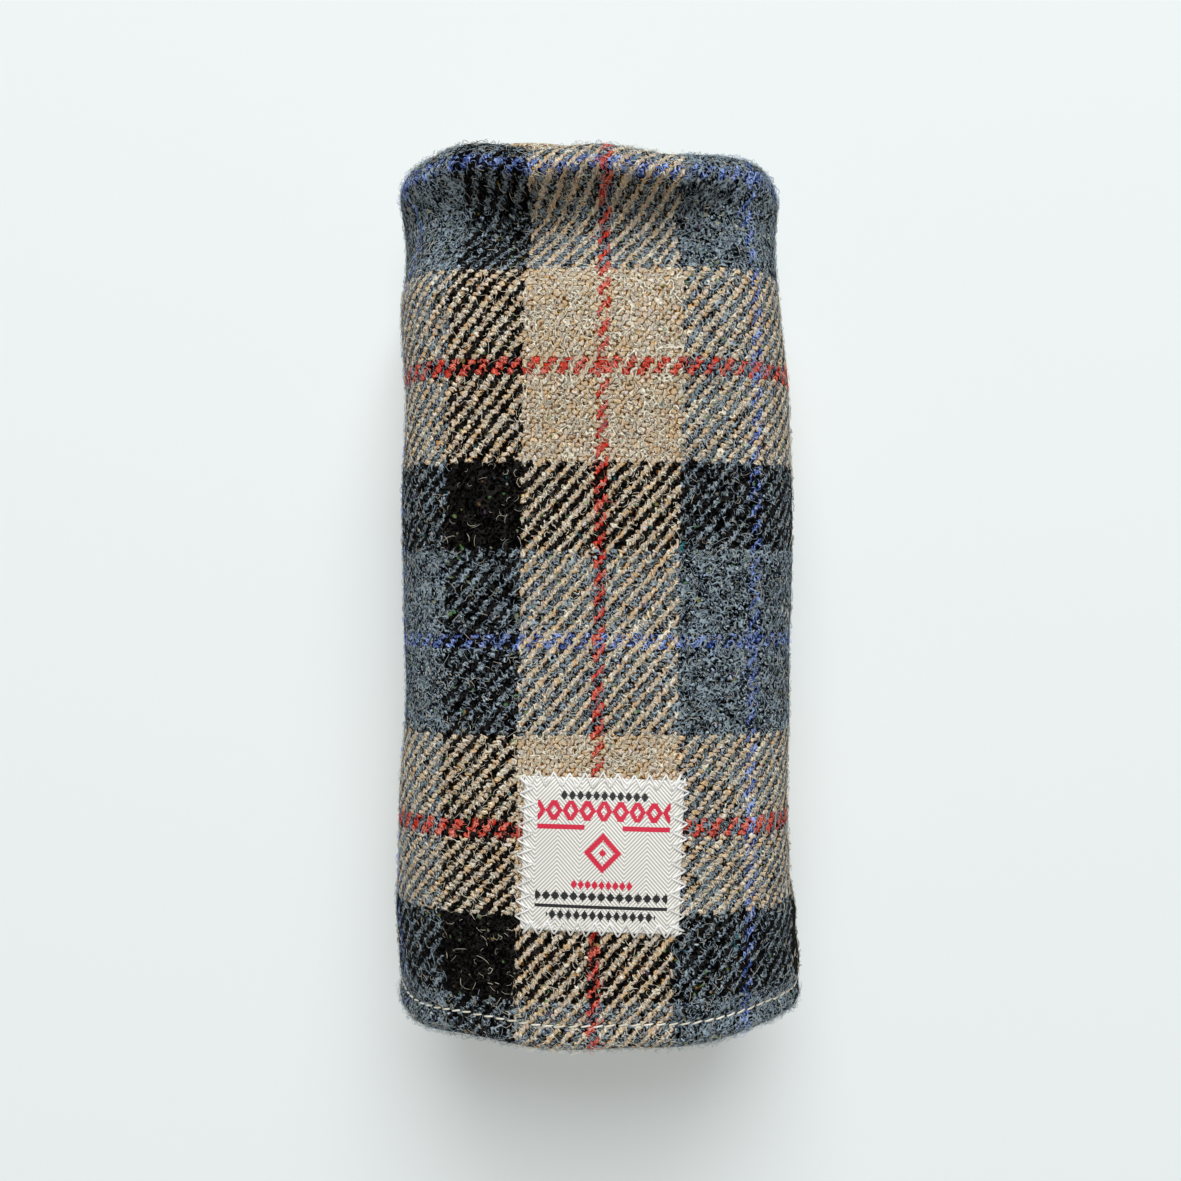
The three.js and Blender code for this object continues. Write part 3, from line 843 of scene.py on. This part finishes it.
def closed_tube(name, profile, material, extra=None):
    """A hidden tube, with a plain map: once round is the width, once through is the height."""
    points = settle(place(profile, extra=extra))
    across, through = np.linspace(0, 1, COLUMNS), np.linspace(0, 1, len(points) + 1)
    bake = np.stack(np.meshgrid(across, through), axis=-1)
    return tube_piece(name, points, bake, bake, material)


def crown_threads(points):
    """The weave's place for points of a panel across the sleeve."""
    return np.stack([points[..., 0] / END_SPACING + CROWN_CHECK[0],
                     points[..., 2] / PICK_SPACING + CROWN_CHECK[1]], axis=-1)


def disc_piece(name, profile, poles_y, material, push=None):
    """A panel across the sleeve. profile rows are (y, depth, scale)."""
    points = settle(place(profile, scale=profile[:, 2], push=push))
    centre = points.mean(axis=1)[[0, -1]]
    centre[:, 1] = poles_y
    # the map is a disc: the front in the middle, and the back as the outer rings
    run = run_of(np.stack([profile[:, 0], 45 * profile[:, 2] - profile[:, 1]], axis=1)) + 2
    radius = 0.49 * run / (run[-1] + 3)
    angle = 2 * math.pi * np.linspace(0, 1, COLUMNS)
    bake = np.stack([0.5 + radius[:, None] * np.cos(angle), 0.5 + radius[:, None] * np.sin(angle)], axis=-1)
    middle = angle[:-1] + (angle[1] - angle[0]) / 2
    rim_pole = 0.5 + 0.495 * np.stack([np.cos(middle), np.sin(middle)], axis=1)
    poles = {"points": centre, "threads": crown_threads(centre), "bake": [np.array([0.5, 0.5]), rim_pole]}
    threads = crown_threads(points)
    return panel_piece(name, points, threads, bake, poles, material), points, threads


def rings_to_edge(y_middle, y_edge, depth, start, rings):
    """Rows of a gently domed face from near its middle out to its edge."""
    scale = np.linspace(start, 1, rings)
    y = y_edge + (y_middle - y_edge) * np.sqrt(np.maximum(0, 1 - scale ** 2.2))
    return np.stack([y, np.full(rings, depth), scale], axis=1)


def with_scale(profile):
    """A profile's rows at full scale."""
    return np.concatenate([profile, np.ones((len(profile), 1))], axis=1)


def build_barrel():
    """The outer tube. Returns the points and the threads of the cloth in sight."""
    profile, shown, fold_row = barrel_profile()
    points = settle(place(profile, extra=barrel_relief(profile, shown)))
    threads = barrel_threads(profile, fold_row)
    bake = np.stack(np.meshgrid(np.linspace(0, 1, COLUMNS), bake_rows(profile, shown)), axis=-1)
    piece = tube_piece("tweed_barrel_cloth", points, threads, bake, finish(woollen_check_tweed))
    finish_piece(piece, "tweed", "tweed_barrel")
    return points[:shown], threads[:shown]


def crown_puff(x, z):
    """The crown stands out where the rim dips."""
    far, at_x, reach_x, at_z, reach_z = CROWN_PUFF
    return far * bump(x, at_x, reach_x) * bump(z, at_z, reach_z)


def build_crown():
    """The outer end panel. Returns the points and the threads of the cloth in sight."""
    edge, top = CROWN_SEAM, CROWN_TOP_Y
    outside = rings_to_edge(top + 0.3, top - 0.3, edge + 6, 0.04, 34)
    turn = with_scale(curve_through([
        (top - 0.3, edge + 6), (top - 0.9, edge + 2.6), (top - 2.4, edge + 0.5), (top - 4.6, edge),
        (SEAM_END_Y, edge),
    ], 0.9))
    edge += TWEED
    back = with_scale(curve_through([
        (SEAM_END_Y, edge), (top - 4.6, edge), (top - 3.4, edge + 1.2), (top - 2.4, edge + 4),
    ], 1.6))
    inside = rings_to_edge(top - 1.8, top - 2.4, edge + 4, 0.1, 10)[::-1]
    profile = joined(outside, turn, back, inside)
    piece, points, threads = disc_piece("tweed_crown_cloth", profile, (top + 0.3, top - 1.8),
                                        finish(woollen_check_tweed), push=crown_puff)
    finish_piece(piece, "tweed", "tweed_crown")
    shown = len(outside) + 4
    return points[:shown], threads[:shown]


def soft_noise(rows, columns, seed, reach):
    """Smooth random relief, the same each run, that joins up round the sleeve."""
    rng = np.random.default_rng(seed)
    noise = rng.normal(size=(rows, columns - 1))
    for _ in range(reach):
        noise = (noise + np.roll(noise, 1, 1) + np.roll(noise, -1, 1)) / 3
        padded = np.pad(noise, ((1, 1), (0, 0)), mode="edge")
        noise = (padded[:-2] + padded[1:-1] + padded[2:]) / 3
    noise /= noise.std()
    return np.concatenate([noise, noise[:, :1]], axis=1)


def build_wadding():
    """The padding tube and disc between tweed and lining."""
    face, back = WADDING_FACE, WADDING_BACK
    profile = joined(
        curve_through([
            (RIM_Y - 4.6, 7.0), (RIM_Y - 5, TWEED + 3.6), (RIM_Y - 7, TWEED + 1.2), (RIM_Y - 10, face),
        ], 2),
        straight(RIM_Y - 10, FLAP_END_Y + 1.5, 60, face, face),
        curve_through([(FLAP_END_Y + 1.5, face), (FLAP_END_Y + 2, 3.6), (FLAP_END_Y + 11, back)], 2),
        straight(FLAP_END_Y + 11, RIM_Y - 6, 56, back, back),
    )
    relief = -0.12 * np.abs(soft_noise(len(profile), COLUMNS, 5, 3))
    relief = np.where(profile[:, 1:2] > 4, relief, -relief)
    barrel = closed_tube("wadding_barrel_pad", profile, finish(bonded_wadding), extra=relief)
    finish_piece(barrel, "wadding", "wadding_barrel")
    edge = CROWN_SEAM + TWEED + CLEAR
    top, bottom = CROWN_TOP_Y - 2.9, SEAM_END_Y + 0.2
    outside = rings_to_edge(top + 0.6, top, edge + 4, 0.1, 16)
    turn = curve_through([(top, edge + 4), (top - 1.4, edge + 1), (top - 3, edge), (bottom, edge)], 1.5)
    inside = rings_to_edge(bottom, bottom, edge, 0.1, 12)[::-1]
    profile = joined(outside, with_scale(turn), inside)
    crown, _, _ = disc_piece("wadding_crown_pad", profile, (top + 0.6, bottom), finish(bonded_wadding))
    finish_piece(crown, "wadding", "wadding_crown")


def build_lining():
    """The fleece tube, its edge caught under the hem's flap, and its end panel."""
    hem_face, top, spread = TWEED + CLEAR, LINING_TOP_Y, FLAP_END_Y + 11
    profile = joined(
        straight(top, spread, 60, LINING_FACE, LINING_FACE),
        curve_through([
            (spread, LINING_FACE), (FLAP_END_Y + 1, 3.2), (FLAP_END_Y - 1, hem_face),
            (MOUTH_Y + 4.6, hem_face),
        ], 2),
        straight(MOUTH_Y + 4.6, FLAP_END_Y - 0.5, 4, HEM_STACK, HEM_STACK),
        curve_through([(FLAP_END_Y - 0.5, HEM_STACK), (FLAP_END_Y + 3, 5.4), (spread, LINING_BACK)], 1.6),
        straight(spread, top, 120, LINING_BACK, LINING_BACK),
    )
    pile = 0.55 * soft_noise(len(profile), COLUMNS, 8, 1)
    pile = pile * smoothstep(LINING_FACE + 0.8, LINING_BACK, profile[:, 1:2])
    pile = pile * smoothstep(FLAP_END_Y, spread, profile[:, :1])
    barrel = closed_tube("lining_barrel_fleece", profile, finish(natural_fleece), extra=pile)
    finish_piece(barrel, "lining", "lining_barrel")
    edge = LINING_BACK + CLEAR + 0.5
    back = top - 2.6
    outside = rings_to_edge(top, top, edge + 1.4, 0.1, 12)
    turn = curve_through([(top, edge + 1.4), (top - 0.8, edge), (back + 0.6, edge), (back, edge + 1)], 0.9)
    inside = rings_to_edge(back, back, edge + 1, 0.04, 60)[::-1]
    profile = joined(outside, with_scale(turn), inside)
    crown, _, _ = disc_piece("lining_crown_fleece", profile, (top, back), finish(natural_fleece))
    finish_piece(crown, "lining", "lining_crown")


# ------------------------------------------------------------------ stray fibres
def normals_of(points):
    """The way outwards at each point of a grid."""
    down = np.gradient(points, axis=0)
    across = np.gradient(points, axis=1)
    normal = np.cross(across, down)
    normal /= np.linalg.norm(normal, axis=2, keepdims=True) + 1e-9
    centre = points.mean(axis=(0, 1))
    outward = np.einsum("ijk,ijk->ij", normal, points - centre).mean()
    return normal if outward > 0 else -normal


def sample(grid, r, c):
    """Values of a grid between its rows and columns."""
    rows, columns = grid.shape[:2]
    r = np.clip(r, 0, rows - 1.001)
    c = np.clip(c, 0, columns - 1.001)
    r0, c0 = r.astype(int), c.astype(int)
    fr, fc = (r - r0)[..., None], (c - c0)[..., None]
    upper = grid[r0, c0] * (1 - fc) + grid[r0, c0 + 1] * fc
    lower = grid[r0 + 1, c0] * (1 - fc) + grid[r0 + 1, c0 + 1] * fc
    return upper * (1 - fr) + lower * fr


def yarn_shades(threads, rng):
    """A fibre colour for each place in the weave: its yarn's painted lit shade mixed with its stray fibres'
    shade, with odd darker and paler ones.
    """
    bounds = np.cumsum([count for _, count in CHECK])
    number = (np.floor(threads[:, 0]) + CHECK_START) % CHECK_THREADS
    other = (np.floor(threads[:, 1]) + CHECK_START) % CHECK_THREADS
    number = np.where(rng.random(len(number)) < 0.5, number, other)
    yarn = np.searchsorted(bounds, number, side="right")
    shades = np.array([[yarn_colour(name, shade) for shade in (SHADED, LIT, STRAY)] for name, _ in CHECK])
    mix = rng.uniform(0.3, 1.1, (len(yarn), 1))
    # painted light: the lit shade of each yarn
    colour = shades[yarn, LIT] * (1 - mix) + shades[yarn, STRAY] * mix
    pale = rng.random(len(yarn)) < 0.25
    colour[pale] = np.array(linear("#e6dcc8")) * rng.uniform(0.5, 1.05, (pale.sum(), 1))
    return np.clip(colour, 0.004, 1)


def build_nap(name, points, threads, rows, count, length, lift, radius, seed):
    """Wool fibres that stand off the cloth: thin closed strands that leave it, curl and mostly come back.
    rows, length and lift are each a lowest and a highest value."""
    rng = np.random.default_rng(seed)
    normal = normals_of(points)
    span_r, span_c = points.shape[0] - 1, points.shape[1] - 1
    r = rng.uniform(*rows, count)
    c = rng.uniform(0, span_c, count)
    reach = rng.uniform(*length, count) * rng.uniform(0.6, 1.0, count)
    heading = rng.uniform(0, 2 * math.pi, count)
    curl = rng.normal(0, 1.6, count)
    stations = np.linspace(0, 1, 5)
    turn = heading[:, None] + curl[:, None] * (stations[None, :] - 0.5) * 2
    step = reach[:, None] / 4
    ahead = np.concatenate([np.zeros((count, 1)), np.cumsum(np.cos(turn[:, :-1]) * step, axis=1)], axis=1)
    aside = np.concatenate([np.zeros((count, 1)), np.cumsum(np.sin(turn[:, :-1]) * step, axis=1)], axis=1)
    row_size = np.linalg.norm(np.diff(points, axis=0), axis=2).mean()
    column_size = np.linalg.norm(np.diff(points, axis=1), axis=2)
    near = np.clip(r.astype(int), 0, span_r), np.clip(c.astype(int), 0, span_c - 1)
    at_r = r[:, None] + ahead / row_size
    at_c = np.clip(c[:, None] + aside / np.maximum(column_size[near][:, None], 0.2), 0, span_c)
    on = sample(points, at_r, at_c)
    out = sample(normal, at_r, at_c)
    height = rng.uniform(*lift, count)
    free = rng.random(count) < 0.35
    arch = np.where(free[:, None], stations[None, :] ** 1.3, np.sin(math.pi * stations)[None, :])
    line = on + out * (arch * height[:, None] - 0.15)[..., None]
    line[..., 2] = np.maximum(line[..., 2], radius)
    tangent = np.gradient(line, axis=1)
    tangent /= np.linalg.norm(tangent, axis=2, keepdims=True) + 1e-9
    side = np.cross(tangent, out)
    side /= np.linalg.norm(side, axis=2, keepdims=True) + 1e-9
    upward = np.cross(side, tangent)
    # three corners round each inner station, and a point at each end
    ring = []
    for angle in 2 * math.pi * np.arange(3) / 3:
        off = math.cos(angle) * side[:, 1:4] + math.sin(angle) * upward[:, 1:4]
        ring.append(line[:, 1:4] + radius * off)
    ring = np.stack(ring, axis=2).reshape(count, 9, 3)
    corners = np.concatenate([line[:, :1], ring, line[:, -1:]], axis=1)
    turn = [(k, (k + 1) % 3) for k in range(3)]
    one_tris = [(0, 1 + after, 1 + k) for k, after in turn] + [(10, 7 + k, 7 + after) for k, after in turn]
    one_quads = [(1 + k, 1 + after, 4 + after, 4 + k) for k, after in turn]
    one_quads += [(4 + k, 4 + after, 7 + after, 7 + k) for k, after in turn]
    offset = (np.arange(count) * 11)[:, None, None]
    tris = (np.array(one_tris)[None] + offset).reshape(-1, 3)
    quads = (np.array(one_quads)[None] + offset).reshape(-1, 4)
    flat = corners.reshape(-1, 3)
    if volume_of(flat, [tris, quads]) < 0:
        tris, quads = tris[:, ::-1], quads[:, ::-1]
    piece = new_object(name, flat, [tris, quads], finish(stray_wool_fibre))
    shades = yarn_shades(sample(threads, r, c), rng)
    colours = np.ones((count, 11, 4))
    colours[..., :3] = shades[:, None, :]
    attribute = piece.data.color_attributes.new(name="fibre", type="FLOAT_COLOR", domain="POINT")
    attribute.data.foreach_set("color", colours.astype(np.float32).ravel())
    return finish_piece(piece, "tweed")


# ------------------------------------------------------------------ stitches and label
def stitch_form():
    """One stitch, modelled along X: a rounded length of thread that narrows where it enters the cloth."""
    bpy.ops.object.select_all(action="DESELECT")
    bpy.ops.mesh.primitive_cylinder_add(vertices=8, radius=1.0, depth=1.0, rotation=(0, math.pi / 2, 0))
    form = bpy.context.object
    bpy.ops.object.transform_apply(location=True, rotation=True, scale=True)
    bpy.ops.object.mode_set(mode="EDIT")
    for cut in (-0.4, -0.2, 0.2, 0.4):
        bpy.ops.mesh.select_all(action="SELECT")
        bpy.ops.mesh.bisect(plane_co=(cut, 0, 0), plane_no=(1, 0, 0))
    bpy.ops.object.mode_set(mode="OBJECT")
    co = np.array([v.co[:] for v in form.data.vertices])
    narrow = np.interp(np.abs(co[:, 0]), (0.2, 0.4, 0.5), (1.0, 0.9, 0.45))
    co[:, 1] *= narrow
    co[:, 2] *= narrow
    faces = [list(p.vertices) for p in form.data.polygons]
    mesh = form.data
    bpy.data.objects.remove(form)
    bpy.data.meshes.remove(mesh)
    return co, faces


def lay_stitches(name, runs, radius, material):
    """Copies the stitch on to each run: (start, end, the way up at it, how far its middle bows up)."""
    co, faces = stitch_form()
    blocks, polygons = [], []
    for k, (start, end, up, bow) in enumerate(runs):
        along = end - start
        size = np.linalg.norm(along)
        along = along / size
        side = np.cross(up, along)
        side /= np.linalg.norm(side)
        upward = np.cross(along, side)
        middle = (start + end) / 2
        local = middle + np.outer(co[:, 0] * size, along)
        local += radius * (np.outer(co[:, 1], side) + np.outer(co[:, 2], upward))
        local += np.outer(bow * (1 - (2 * co[:, 0]) ** 2), upward)
        blocks.append(local)
        polygons += [[i + k * len(co) for i in face] for face in faces]
    mesh = bpy.data.meshes.new(name)
    mesh.from_pydata((np.concatenate(blocks) * MM).tolist(), [], polygons)
    mesh.polygons.foreach_set("use_smooth", np.ones(len(mesh.polygons), bool))
    mesh.materials.append(material)
    piece = bpy.data.objects.new(name, mesh)
    bpy.context.collection.objects.link(piece)
    return piece


def build_hem_stitching(pitch, radius):
    """A straight lockstitch, sunk in its groove. Each stitch leans a little across the line."""
    share, lean, bow = 0.78, 0.18, 0.2
    ring = settle(place(np.array([[STITCH_Y, 0.62]]), columns=1200))[0]
    hub = np.array([0, STITCH_Y, AXIS_Z])
    run = np.concatenate([[0], np.cumsum(np.linalg.norm(np.diff(ring, axis=0), axis=1))])
    count = int(run[-1] / pitch)
    rng = np.random.default_rng(31)
    runs = []
    for k in range(count):
        ends = []
        for at, across in ((k + 0.1, lean), (k + 0.1 + share, -lean)):
            end = np.array([np.interp(at * run[-1] / count, run, ring[:, i]) for i in range(3)])
            end[1] += across + rng.normal(0, 0.06)
            ends.append(end)
        up = (ends[0] + ends[1]) / 2 - hub
        runs.append((*ends, up / np.linalg.norm(up), bow))
    piece = lay_stitches("hem_topstitch", runs, radius, thread("cream_sewing_thread"))
    finish_piece(piece, "hem_thread", "hem_stitching")


def drop_on(pieces, x, y):
    """The highest point of some pieces under (x, y), in millimetres."""
    best = 0.0
    for piece in pieces:
        hit, where, _, _ = piece.ray_cast(Vector((x * MM, y * MM, 0.2)), Vector((0, 0, -1)))
        if hit:
            best = max(best, where.z / MM)
    return best


def on_label(u, v):
    """Where a place on the label lies on the cover."""
    cos, sin = math.cos(LABEL_TURN), math.sin(LABEL_TURN)
    return LABEL_CENTRE[0] + u * cos - v * sin, LABEL_CENTRE[1] + u * sin + v * cos


def build_label(barrel):
    """The label lies on the cloth and ripples a little where the zigzag pulls at its edge."""
    steps = 78
    bpy.ops.object.select_all(action="DESELECT")
    bpy.ops.mesh.primitive_grid_add(x_subdivisions=steps, y_subdivisions=steps, size=1)
    piece = bpy.context.object
    piece.name = "woven_label_cloth"
    piece.data.name = piece.name
    mesh = piece.data
    flat = np.array([v.co[:2] for v in mesh.vertices]) * LABEL_SIZE
    layer = mesh.uv_layers[0]
    layer.name = "Label"
    for loop in mesh.loops:
        layer.data[loop.index].uv = flat[loop.vertex_index]
    for vertex, (u, v) in zip(mesh.vertices, flat):
        x, y = on_label(u, v)
        edge = min(LABEL_SIZE[0] / 2 - abs(u), LABEL_SIZE[1] / 2 - abs(v))
        pulled = math.exp(-(edge / 2.4) ** 2)
        ripple = 0.16 * math.sin((u + v) * 2 * math.pi / 3.5) * pulled
        ripple += 0.12 * math.sin(u / 4.1 + 1) * math.cos(v / 5.3)
        slack = 0.35 * (1 - pulled)
        rise = drop_on([barrel], x, y) + 0.22 + slack + ripple
        vertex.co = (x * MM, y * MM, rise * MM)
    bpy.context.view_layer.objects.active = piece
    thick = piece.modifiers.new("weave", "SOLIDIFY")
    thick.thickness = 0.45 * MM
    thick.offset = 1
    bpy.ops.object.modifier_apply(modifier=thick.name)
    mesh = piece.data
    mesh.polygons.foreach_set("use_smooth", np.ones(len(mesh.polygons), bool))
    mesh.materials.append(finish(damask_woven_label))
    finish_piece(piece, "label", "woven_label")
    return piece


def build_label_stitching(barrel, label, radius):
    """A dense zigzag over the label's edge, with the tangles where it starts and stops."""
    outside, inside, per_side, bow, longest = 1.3, 2.5, 10, 0.45, 7
    half = LABEL_SIZE[0] / 2, LABEL_SIZE[1] / 2
    rng = np.random.default_rng(77)
    corners = ((-1, -1), (1, -1), (1, 1), (-1, 1))
    tips = []
    for side, corner in enumerate(corners):
        after = corners[(side + 1) % 4]
        fixed = 0 if corner[0] == after[0] else 1   # which of the tip's two places stays at the edge
        for k in range(2 * per_side):
            t = (k + 0.35) / (2 * per_side)
            tip = [(corner[i] + (after[i] - corner[i]) * t) * half[i] for i in (0, 1)]
            reach = outside if k % 2 == 0 else -inside
            tip[fixed] += corner[fixed] * (reach + rng.normal(0, 0.12))
            tip[1 - fixed] += rng.normal(0, 0.12)
            tips.append(tip)
    tips.append(tips[0])
    for corner in corners[1:]:   # back-tacks
        for _ in range(5):
            tips.append([corner[i] * (half[i] + rng.uniform(-1.6, 0.9)) for i in (0, 1)])
        tips.append(None)
    runs = []
    for a, b in zip(tips, tips[1:]):
        if a is None or b is None or math.dist(a, b) > longest:
            continue
        places = [on_label(*tip) for tip in (a, b)]
        ends = [np.array([x, y, drop_on([barrel, label], x, y) + 0.12]) for x, y in places]
        runs.append((*ends, np.array([0.0, 0.0, 1.0]), bow))
    piece = lay_stitches("label_zigzag", runs, radius, thread("white_sewing_thread"))
    finish_piece(piece, "label_thread", "label_stitching")


# ------------------------------------------------------------------ stage
def build_stage(settings):
    """Pale paper floor, soft light from beyond the crown and from overhead, and a camera straight above."""
    scene = bpy.context.scene
    camera_data = bpy.data.cameras.new("overhead")
    camera = bpy.data.objects.new("overhead", camera_data)
    scene.collection.objects.link(camera)
    camera.location = (-1.3 * MM, 0, settings.camera_height)
    camera_data.sensor_width = 36
    camera_data.lens = settings.camera_lens
    camera_data.clip_start = 0.01
    scene.camera = camera

    bpy.ops.object.select_all(action="DESELECT")
    bpy.ops.mesh.primitive_plane_add(size=6, location=(0, 0, -0.3 * MM))
    floor = bpy.context.object
    floor.name = "paper_floor"
    paper, node = new_material("white_paper", tuple(settings.floor_colour))
    shader = node("BsdfPrincipled", {
        "Base Color": (*settings.floor_colour, 1), "Roughness": 0.85, "Specular IOR Level": 0.2,
    })
    node("OutputMaterial", [shader])
    floor.data.materials.append(paper)

    world = bpy.data.worlds.new("soft_room")
    world.use_nodes = True
    backdrop = world.node_tree.nodes["Background"]
    backdrop.inputs[0].default_value = (*linear("#ffeed4"), 1)
    backdrop.inputs[1].default_value = settings.room_light
    scene.world = world
    scene.view_settings.view_transform = "Standard"
    scene.view_settings.look = "None"

    lamps = (
        ("window", (0.2, 3.4, 3.5), 3.2, settings.window_light),
        ("fill", (0.1, 0.3, 4.6), 2.0, settings.fill_light),
    )
    for name, place_at, size, power in lamps:
        lamp_data = bpy.data.lights.new(name, "AREA")
        lamp_data.size = size
        lamp_data.energy = power
        lamp_data.color = linear("#f6fbff")
        lamp = bpy.data.objects.new(name, lamp_data)
        lamp.location = place_at
        lamp.rotation_euler = (Vector((0, 0, 0.03)) - Vector(place_at)).to_track_quat("-Z", "Y").to_euler()
        scene.collection.objects.link(lamp)


# ------------------------------------------------------------------ add-on
def colour_property(name, description, default):
    """A colour that the panel shows; default is sRGB hex."""
    return bpy.props.FloatVectorProperty(
        name=name, description=description, default=linear(default), size=3, min=0, max=1, subtype="COLOR")


class StageSettings(bpy.types.PropertyGroup):
    """Camera, light and floor"""
    camera_height: bpy.props.FloatProperty(
        name="Camera height", description="Height of the overhead camera above the floor",
        default=0.361, min=0.1, unit="LENGTH")
    camera_lens: bpy.props.FloatProperty(
        name="Lens", description="Focal length on a 36 mm sensor", default=34.35, min=10, unit="CAMERA")
    floor_colour: colour_property("Paper", "Colour of the floor", "#f1f5f4")
    room_light: bpy.props.FloatProperty(
        name="Room light", description="Strength of the light from all round", default=0.13, min=0)
    window_light: bpy.props.FloatProperty(
        name="Window light", description="Power of the soft light from beyond the crown",
        default=196, min=0, unit="POWER")
    fill_light: bpy.props.FloatProperty(
        name="Fill light", description="Power of the soft light from overhead",
        default=82, min=0, unit="POWER")


class ColourSettings(bpy.types.PropertyGroup):
    """Colours of the cloth, the lining and the label"""
    beige: colour_property("Beige yarn", "Lit side of the beige yarn", YARNS["beige"][LIT])
    black: colour_property("Black yarn", "Lit side of the black yarn", YARNS["black"][LIT])
    bluegrey: colour_property("Blue-grey yarn", "Lit side of the blue-grey yarn", YARNS["bluegrey"][LIT])
    red: colour_property("Red yarn", "Lit side of the red overcheck", YARNS["red"][LIT])
    blue: colour_property("Blue yarn", "Lit side of the blue overcheck", YARNS["blue"][LIT])
    fleece: colour_property("Fleece", "Tips of the lining's curls", "#f2ead8")
    label_black: colour_property("Label black", "Black thread of the label's ornament", "#17171a")
    label_red: colour_property("Label red", "Red thread of the label's ornament", "#d8173f")


class ThreadSettings(bpy.types.PropertyGroup):
    """Stray fibres and stitches"""
    fibres: bpy.props.IntProperty(
        name="Fibres", description="Stray fibres in each tuft piece", default=9000, min=100)
    fibre_thickness: bpy.props.FloatProperty(
        name="Fibre thickness", description="Drawn about twice as thick as real wool so that it shows",
        default=0.00012, min=0.00002, unit="LENGTH")
    hem_stitch: bpy.props.FloatProperty(
        name="Hem stitch", description="Length of one stitch with its gap", default=0.00305, min=0.001,
        unit="LENGTH")
    hem_thread: bpy.props.FloatProperty(
        name="Hem thread", description="Thickness of the hem's thread", default=0.00048, min=0.0001,
        unit="LENGTH")
    label_thread: bpy.props.FloatProperty(
        name="Label thread", description="Thickness of the label's zigzag thread", default=0.0005, min=0.0001,
        unit="LENGTH")


class HEADCOVER_OT_stage(bpy.types.Operator):
    """Add the paper floor, the lights and the overhead camera"""
    bl_idname = "headcover.stage"
    bl_label = "Stage"

    def execute(self, context):
        build_stage(context.scene.headcover_stage)
        return {"FINISHED"}


class HEADCOVER_OT_tweed(bpy.types.Operator):
    """Make the tweed barrel and crown, with their stray fibres"""
    bl_idname = "headcover.tweed"
    bl_label = "Tweed barrel and crown"

    def execute(self, context):
        settings = context.scene.headcover_threads
        radius, count = settings.fibre_thickness / MM / 2, settings.fibres
        points, threads = build_barrel()
        last = len(points) - 1
        fold = last - 16
        for k in range(3):
            build_nap(f"tweed_nap_{k + 1}", points, threads, (4, fold), count, (1.8, 5.5), (0.1, 0.8), radius,
                      100 + k)
        hem, rim = (fold - 6, last - 9), (3, 18)
        build_nap("hem_nap", points, threads, hem, count // 3, (2.0, 6.5), (0.2, 1.6), radius * 0.75, 140)
        build_nap("rim_nap", points, threads, rim, count // 4, (1.5, 4.5), (0.2, 1.4), radius, 150)
        points, threads = build_crown()
        end = (2, len(points) - 3)
        build_nap("crown_nap", points, threads, end, count // 3, (1.5, 4.5), (0.1, 0.7), radius, 160)
        return {"FINISHED"}


class HEADCOVER_OT_padding(bpy.types.Operator):
    """Make the wadding and the fleece lining"""
    bl_idname = "headcover.padding"
    bl_label = "Wadding and lining"

    def execute(self, context):
        build_wadding()
        build_lining()
        return {"FINISHED"}


class HEADCOVER_OT_label(bpy.types.Operator):
    """Lay the woven label on the barrel and zigzag it down"""
    bl_idname = "headcover.label"
    bl_label = "Woven label"

    def execute(self, context):
        barrel = bpy.data.objects["tweed_barrel_cloth"]
        label = build_label(barrel)
        build_label_stitching(barrel, label, context.scene.headcover_threads.label_thread / MM / 2)
        return {"FINISHED"}


class HEADCOVER_OT_stitching(bpy.types.Operator):
    """Sew the hem, and give the hidden seam threads their finish"""
    bl_idname = "headcover.stitching"
    bl_label = "Hem and seam stitching"

    def execute(self, context):
        settings = context.scene.headcover_threads
        build_hem_stitching(settings.hem_stitch / MM, settings.hem_thread / MM / 2)
        for seam in ("crown_seam", "back_seam", "lining_seam", "lining_crown"):
            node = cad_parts[seam + "_stitching"]
            node.data.materials.clear()
            node.data.materials.append(thread("black_sewing_thread"))
        return {"FINISHED"}


class HEADCOVER_PT_panel(bpy.types.Panel):
    """The steps in order, and their settings"""
    bl_label = "Head cover"
    bl_idname = "HEADCOVER_PT_panel"
    bl_space_type = "VIEW_3D"
    bl_region_type = "UI"
    bl_category = "Head cover"

    def draw(self, context):
        for step in STEPS:
            self.layout.operator(step.bl_idname)
        for name in GROUPS:
            group = getattr(context.scene, name)
            box = self.layout.box()
            for field in group.__annotations__:
                box.prop(group, field)


STEPS = (
    HEADCOVER_OT_stage, HEADCOVER_OT_tweed, HEADCOVER_OT_padding, HEADCOVER_OT_label, HEADCOVER_OT_stitching,
)
GROUPS = {
    "headcover_stage": StageSettings,
    "headcover_colours": ColourSettings,
    "headcover_threads": ThreadSettings,
}
CLASSES = (*GROUPS.values(), *STEPS, HEADCOVER_PT_panel)


def register():
    for item in CLASSES:
        bpy.utils.register_class(item)
    for name, group in GROUPS.items():
        setattr(bpy.types.Scene, name, bpy.props.PointerProperty(type=group))


def unregister():
    for name in GROUPS:
        delattr(bpy.types.Scene, name)
    for item in reversed(CLASSES):
        bpy.utils.unregister_class(item)


def main():
    register()
    bpy.ops.headcover.stage()
    bpy.ops.headcover.tweed()
    bpy.ops.headcover.padding()
    bpy.ops.headcover.label()
    bpy.ops.headcover.stitching()


if __name__ == "__main__":
    main()
